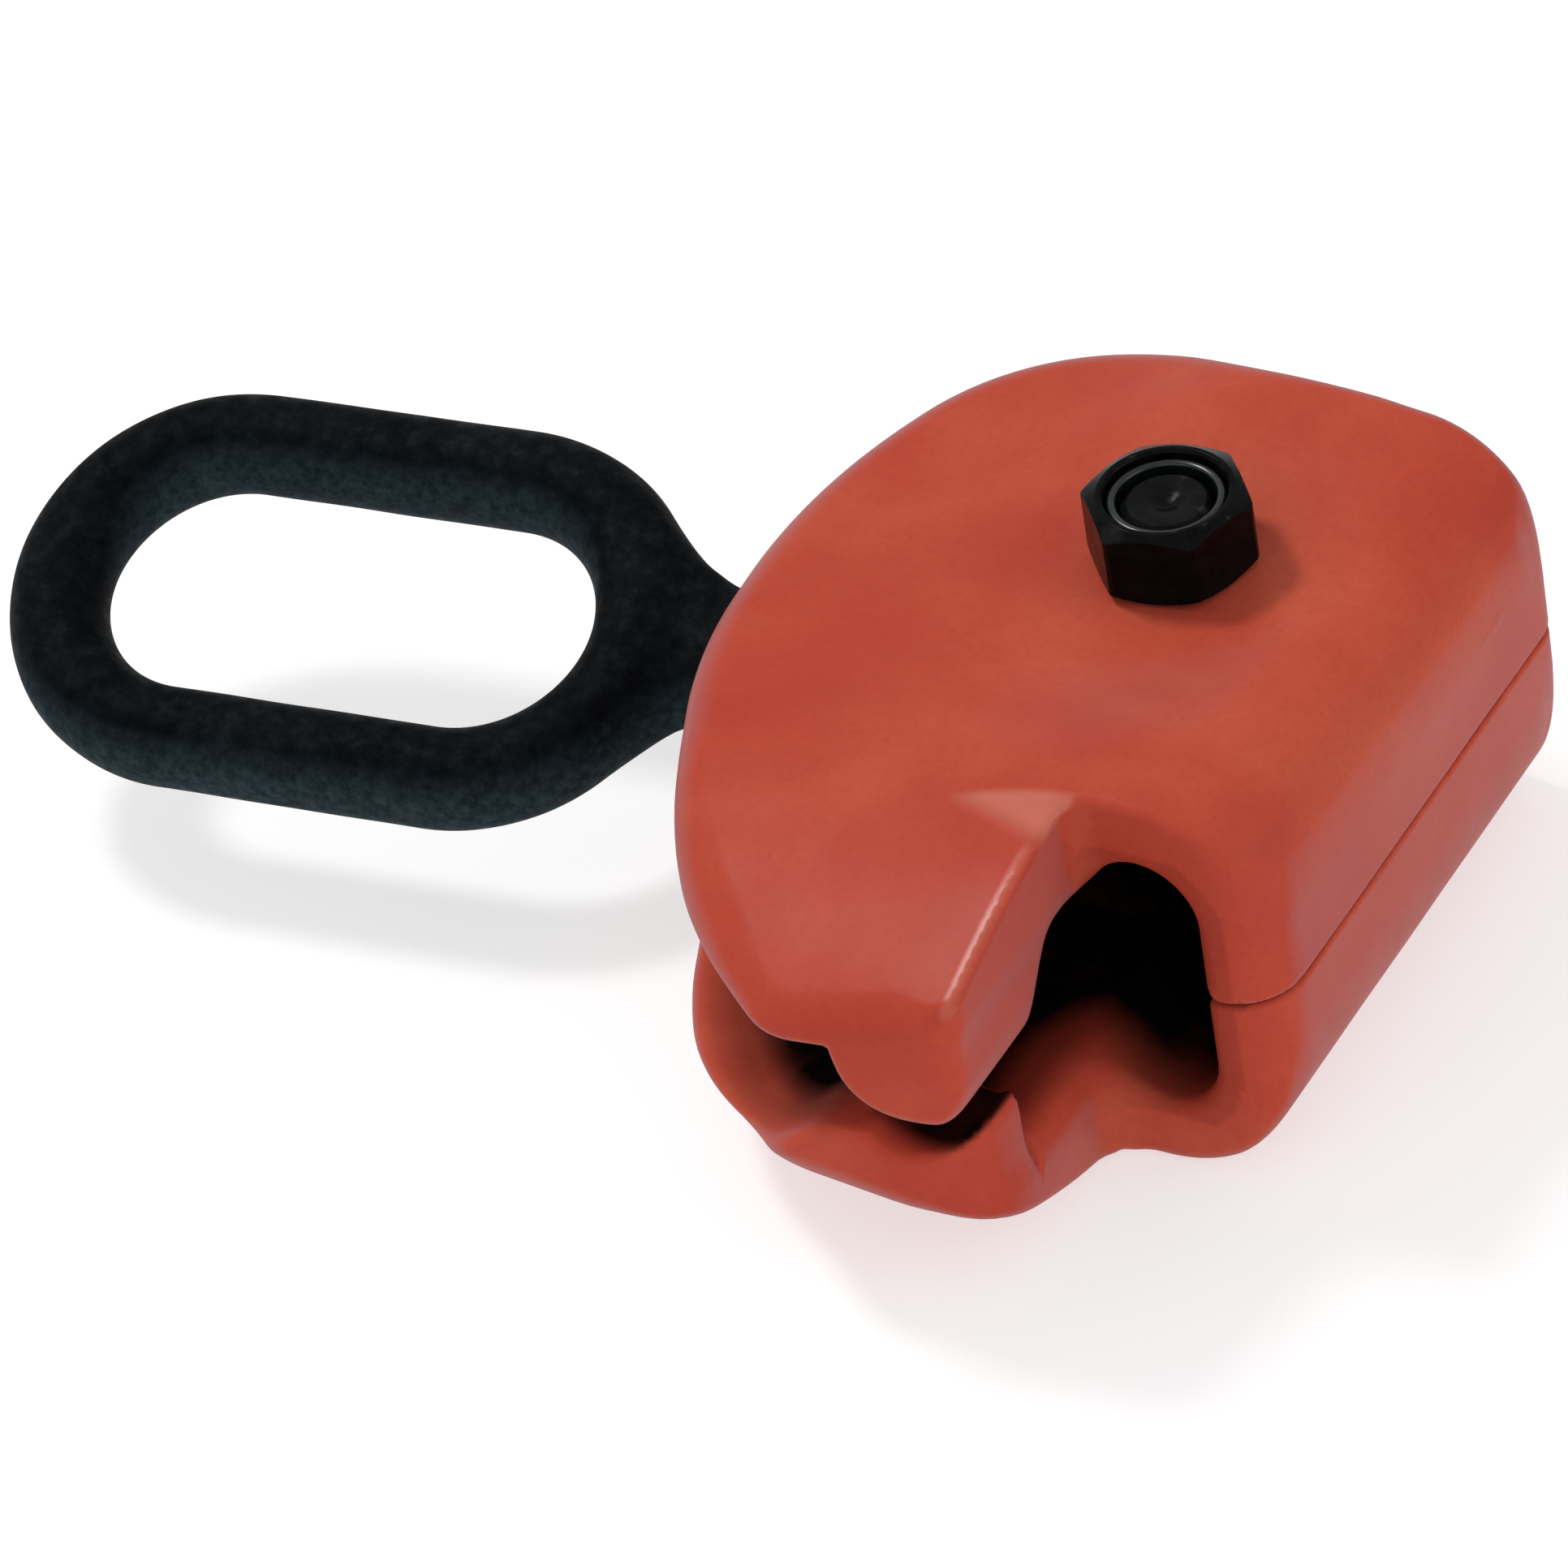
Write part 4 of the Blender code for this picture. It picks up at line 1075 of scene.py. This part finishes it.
# ------------------------------------------------------------ pins
def pin(name, x, y, z0, z1, radius, replaced):
    c = min(0.4, radius * 0.25)     # end rounding
    ob = solid_turn(name, [
        (0, z0), (radius - c, z0), (radius - c * 0.4, z0 + c * 0.25), (radius, z0 + c),
        (radius, z1 - c), (radius - c * 0.4, z1 - c * 0.25), (radius - c, z1), (0, z1)],
        GROUND, seg=64)
    ob.data.transform(Matrix.Translation((x * MM, y * MM, 0)))
    register(ob, replaced)


for tag, dowel_y in DOWELS.items():
    pin("dowel_%s_ground" % tag, DOWEL_X, dowel_y, PARTING_Z - DOWEL_HALF,
        PARTING_Z + DOWEL_HALF, DOWEL_R, "dowel_pin_" + tag)
pin("spring_pin_ground", *SPRING_PIN, PARTING_Z - GAP - 5.0, PARTING_Z - 6.4, 1.3,
    "spring_pin")


# ------------------------------------------------------------ spring
def spring_path():
    """Upper end in the lever's hole, 1.75 turns down, then a straight tail."""
    steps, turn = 140, -360.0 * 1.75
    end_z = LEVER_BASE + 3.6
    path = [(*SPRING_END, end_z), (*SPRING_END, (end_z + SPRING_TOP) / 2)]
    for k in range(steps + 1):
        path.append((*polar(SPRING_R, SPRING_DEG + turn * k / steps),
                     SPRING_TOP - (SPRING_TOP - SPRING_LOW) * k / steps))
    tail_x, tail_y = polar(1.0, SPRING_DEG + turn - 90.0)
    x, y, z = path[-1]
    return path + [(x + tail_x * d, y + tail_y * d, z) for d in (3.0, 9.0)]


curve = bpy.data.curves.new("spring_path", 'CURVE')
curve.dimensions = '3D'
curve.bevel_depth = WIRE_R * MM
curve.bevel_resolution = 5
curve.use_fill_caps = True
path = spring_path()
spline = curve.splines.new('POLY')
spline.points.add(len(path) - 1)
for point, (x, y, z) in zip(spline.points, path):
    point.co = (x * MM, y * MM, z * MM, 1.0)
coil = link_object("spring_path", curve)
bpy.context.view_layer.update()
mesh = bpy.data.meshes.new_from_object(
    coil.evaluated_get(bpy.context.evaluated_depsgraph_get()))
bpy.data.objects.remove(coil, do_unlink=True)
bm = bmesh.new()
bm.from_mesh(mesh)
bmesh.ops.remove_doubles(bm, verts=bm.verts, dist=1e-6)
spring = closed_object("return_spring_coil", bm, WIRE, sharp=50.0)
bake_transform(spring)
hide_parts("return_spring")


# ============================================================ stage, in metres
shade = Shader("floor_pale")
shade.surface({
    "Base Color": shade.ramp(shade.noise(scale=3.0, detail=2.0, rough=0.5),
                             [(0.3, (0.46, 0.46, 0.46)), (0.7, (0.50, 0.50, 0.50))]),
    "Roughness": 0.7,
    "Specular IOR Level": 0.1,
    "Emission Color": (1, 1, 1),
    "Emission Strength": 0.58})
bm = bmesh.new()
bmesh.ops.create_grid(bm, x_segments=2, y_segments=2, size=6.0)
floor = bmesh_object("floor", bm, shade.material)
floor.location = (0, 0, float(cad_box[0][2]) - 0.0002)      # just under the product

scene = bpy.context.scene
if scene.world is None:
    scene.world = bpy.data.worlds.new("studio")
scene.world.use_nodes = True
world_nodes = scene.world.node_tree.nodes
background = world_nodes.get("Background") or world_nodes.new("ShaderNodeBackground")
background.inputs["Color"].default_value = (1.0, 1.0, 1.0, 1)
background.inputs["Strength"].default_value = 0.62


def area_light(name, place, target, size, power, colour=(1, 1, 1)):
    light = bpy.data.lights.new(name, 'AREA')
    light.shape = 'RECTANGLE'
    light.size, light.size_y = size
    light.energy = power
    light.color = colour
    ob = link_object(name, light)
    ob.location = place
    aim = Vector(target) - Vector(place)
    ob.rotation_euler = aim.to_track_quat('-Z', 'Y').to_euler()


area_light("key", place=(-0.563, 0.076, 0.925), target=(0.0, -0.05, 0.05),
           size=(0.20, 0.20), power=5.0)
area_light("side", place=(0.95, 0.1, 0.40), target=(0.0, 0, 0.03),
           size=(0.7, 0.9), power=2.2, colour=(1.0, 0.95, 0.97))
area_light("front", place=(0.15, -0.95, 0.55), target=(0.0, -0.02, 0.02),
           size=(1.2, 0.9), power=1.2)

# a long lens looking down from +X, -Y
ELEVATION, AZIMUTH, ROLL = 0.700689, 0.616650, -0.174999    # radians
DISTANCE = 1.19879
VIEW_WIDTH = 0.1932                     # width of the view at that distance
TARGET = (-0.0416128, -0.0300025, 0.025)
SHIFT = 0.0003                          # target's small move, left and up in the view
back = Vector((math.sin(AZIMUTH) * math.cos(ELEVATION),
               -math.cos(AZIMUTH) * math.cos(ELEVATION), math.sin(ELEVATION)))
level = Vector((math.cos(AZIMUTH), math.sin(AZIMUTH), 0))
upright = back.cross(level)
right = level * math.cos(ROLL) + upright * math.sin(ROLL)
up = upright * math.cos(ROLL) - level * math.sin(ROLL)
target = Vector(TARGET) + (-SHIFT * right + SHIFT * up)
lens = bpy.data.cameras.new("camera")
lens.sensor_width = 36.0
lens.lens = lens.sensor_width * DISTANCE / VIEW_WIDTH
lens.clip_start = 0.05
lens.clip_end = 50
pose = Matrix((right, up, back)).transposed().to_4x4()
pose.translation = target + back * DISTANCE
camera = link_object("camera", lens)
camera.matrix_world = pose
scene.camera = camera
scene.view_settings.view_transform = 'Standard'
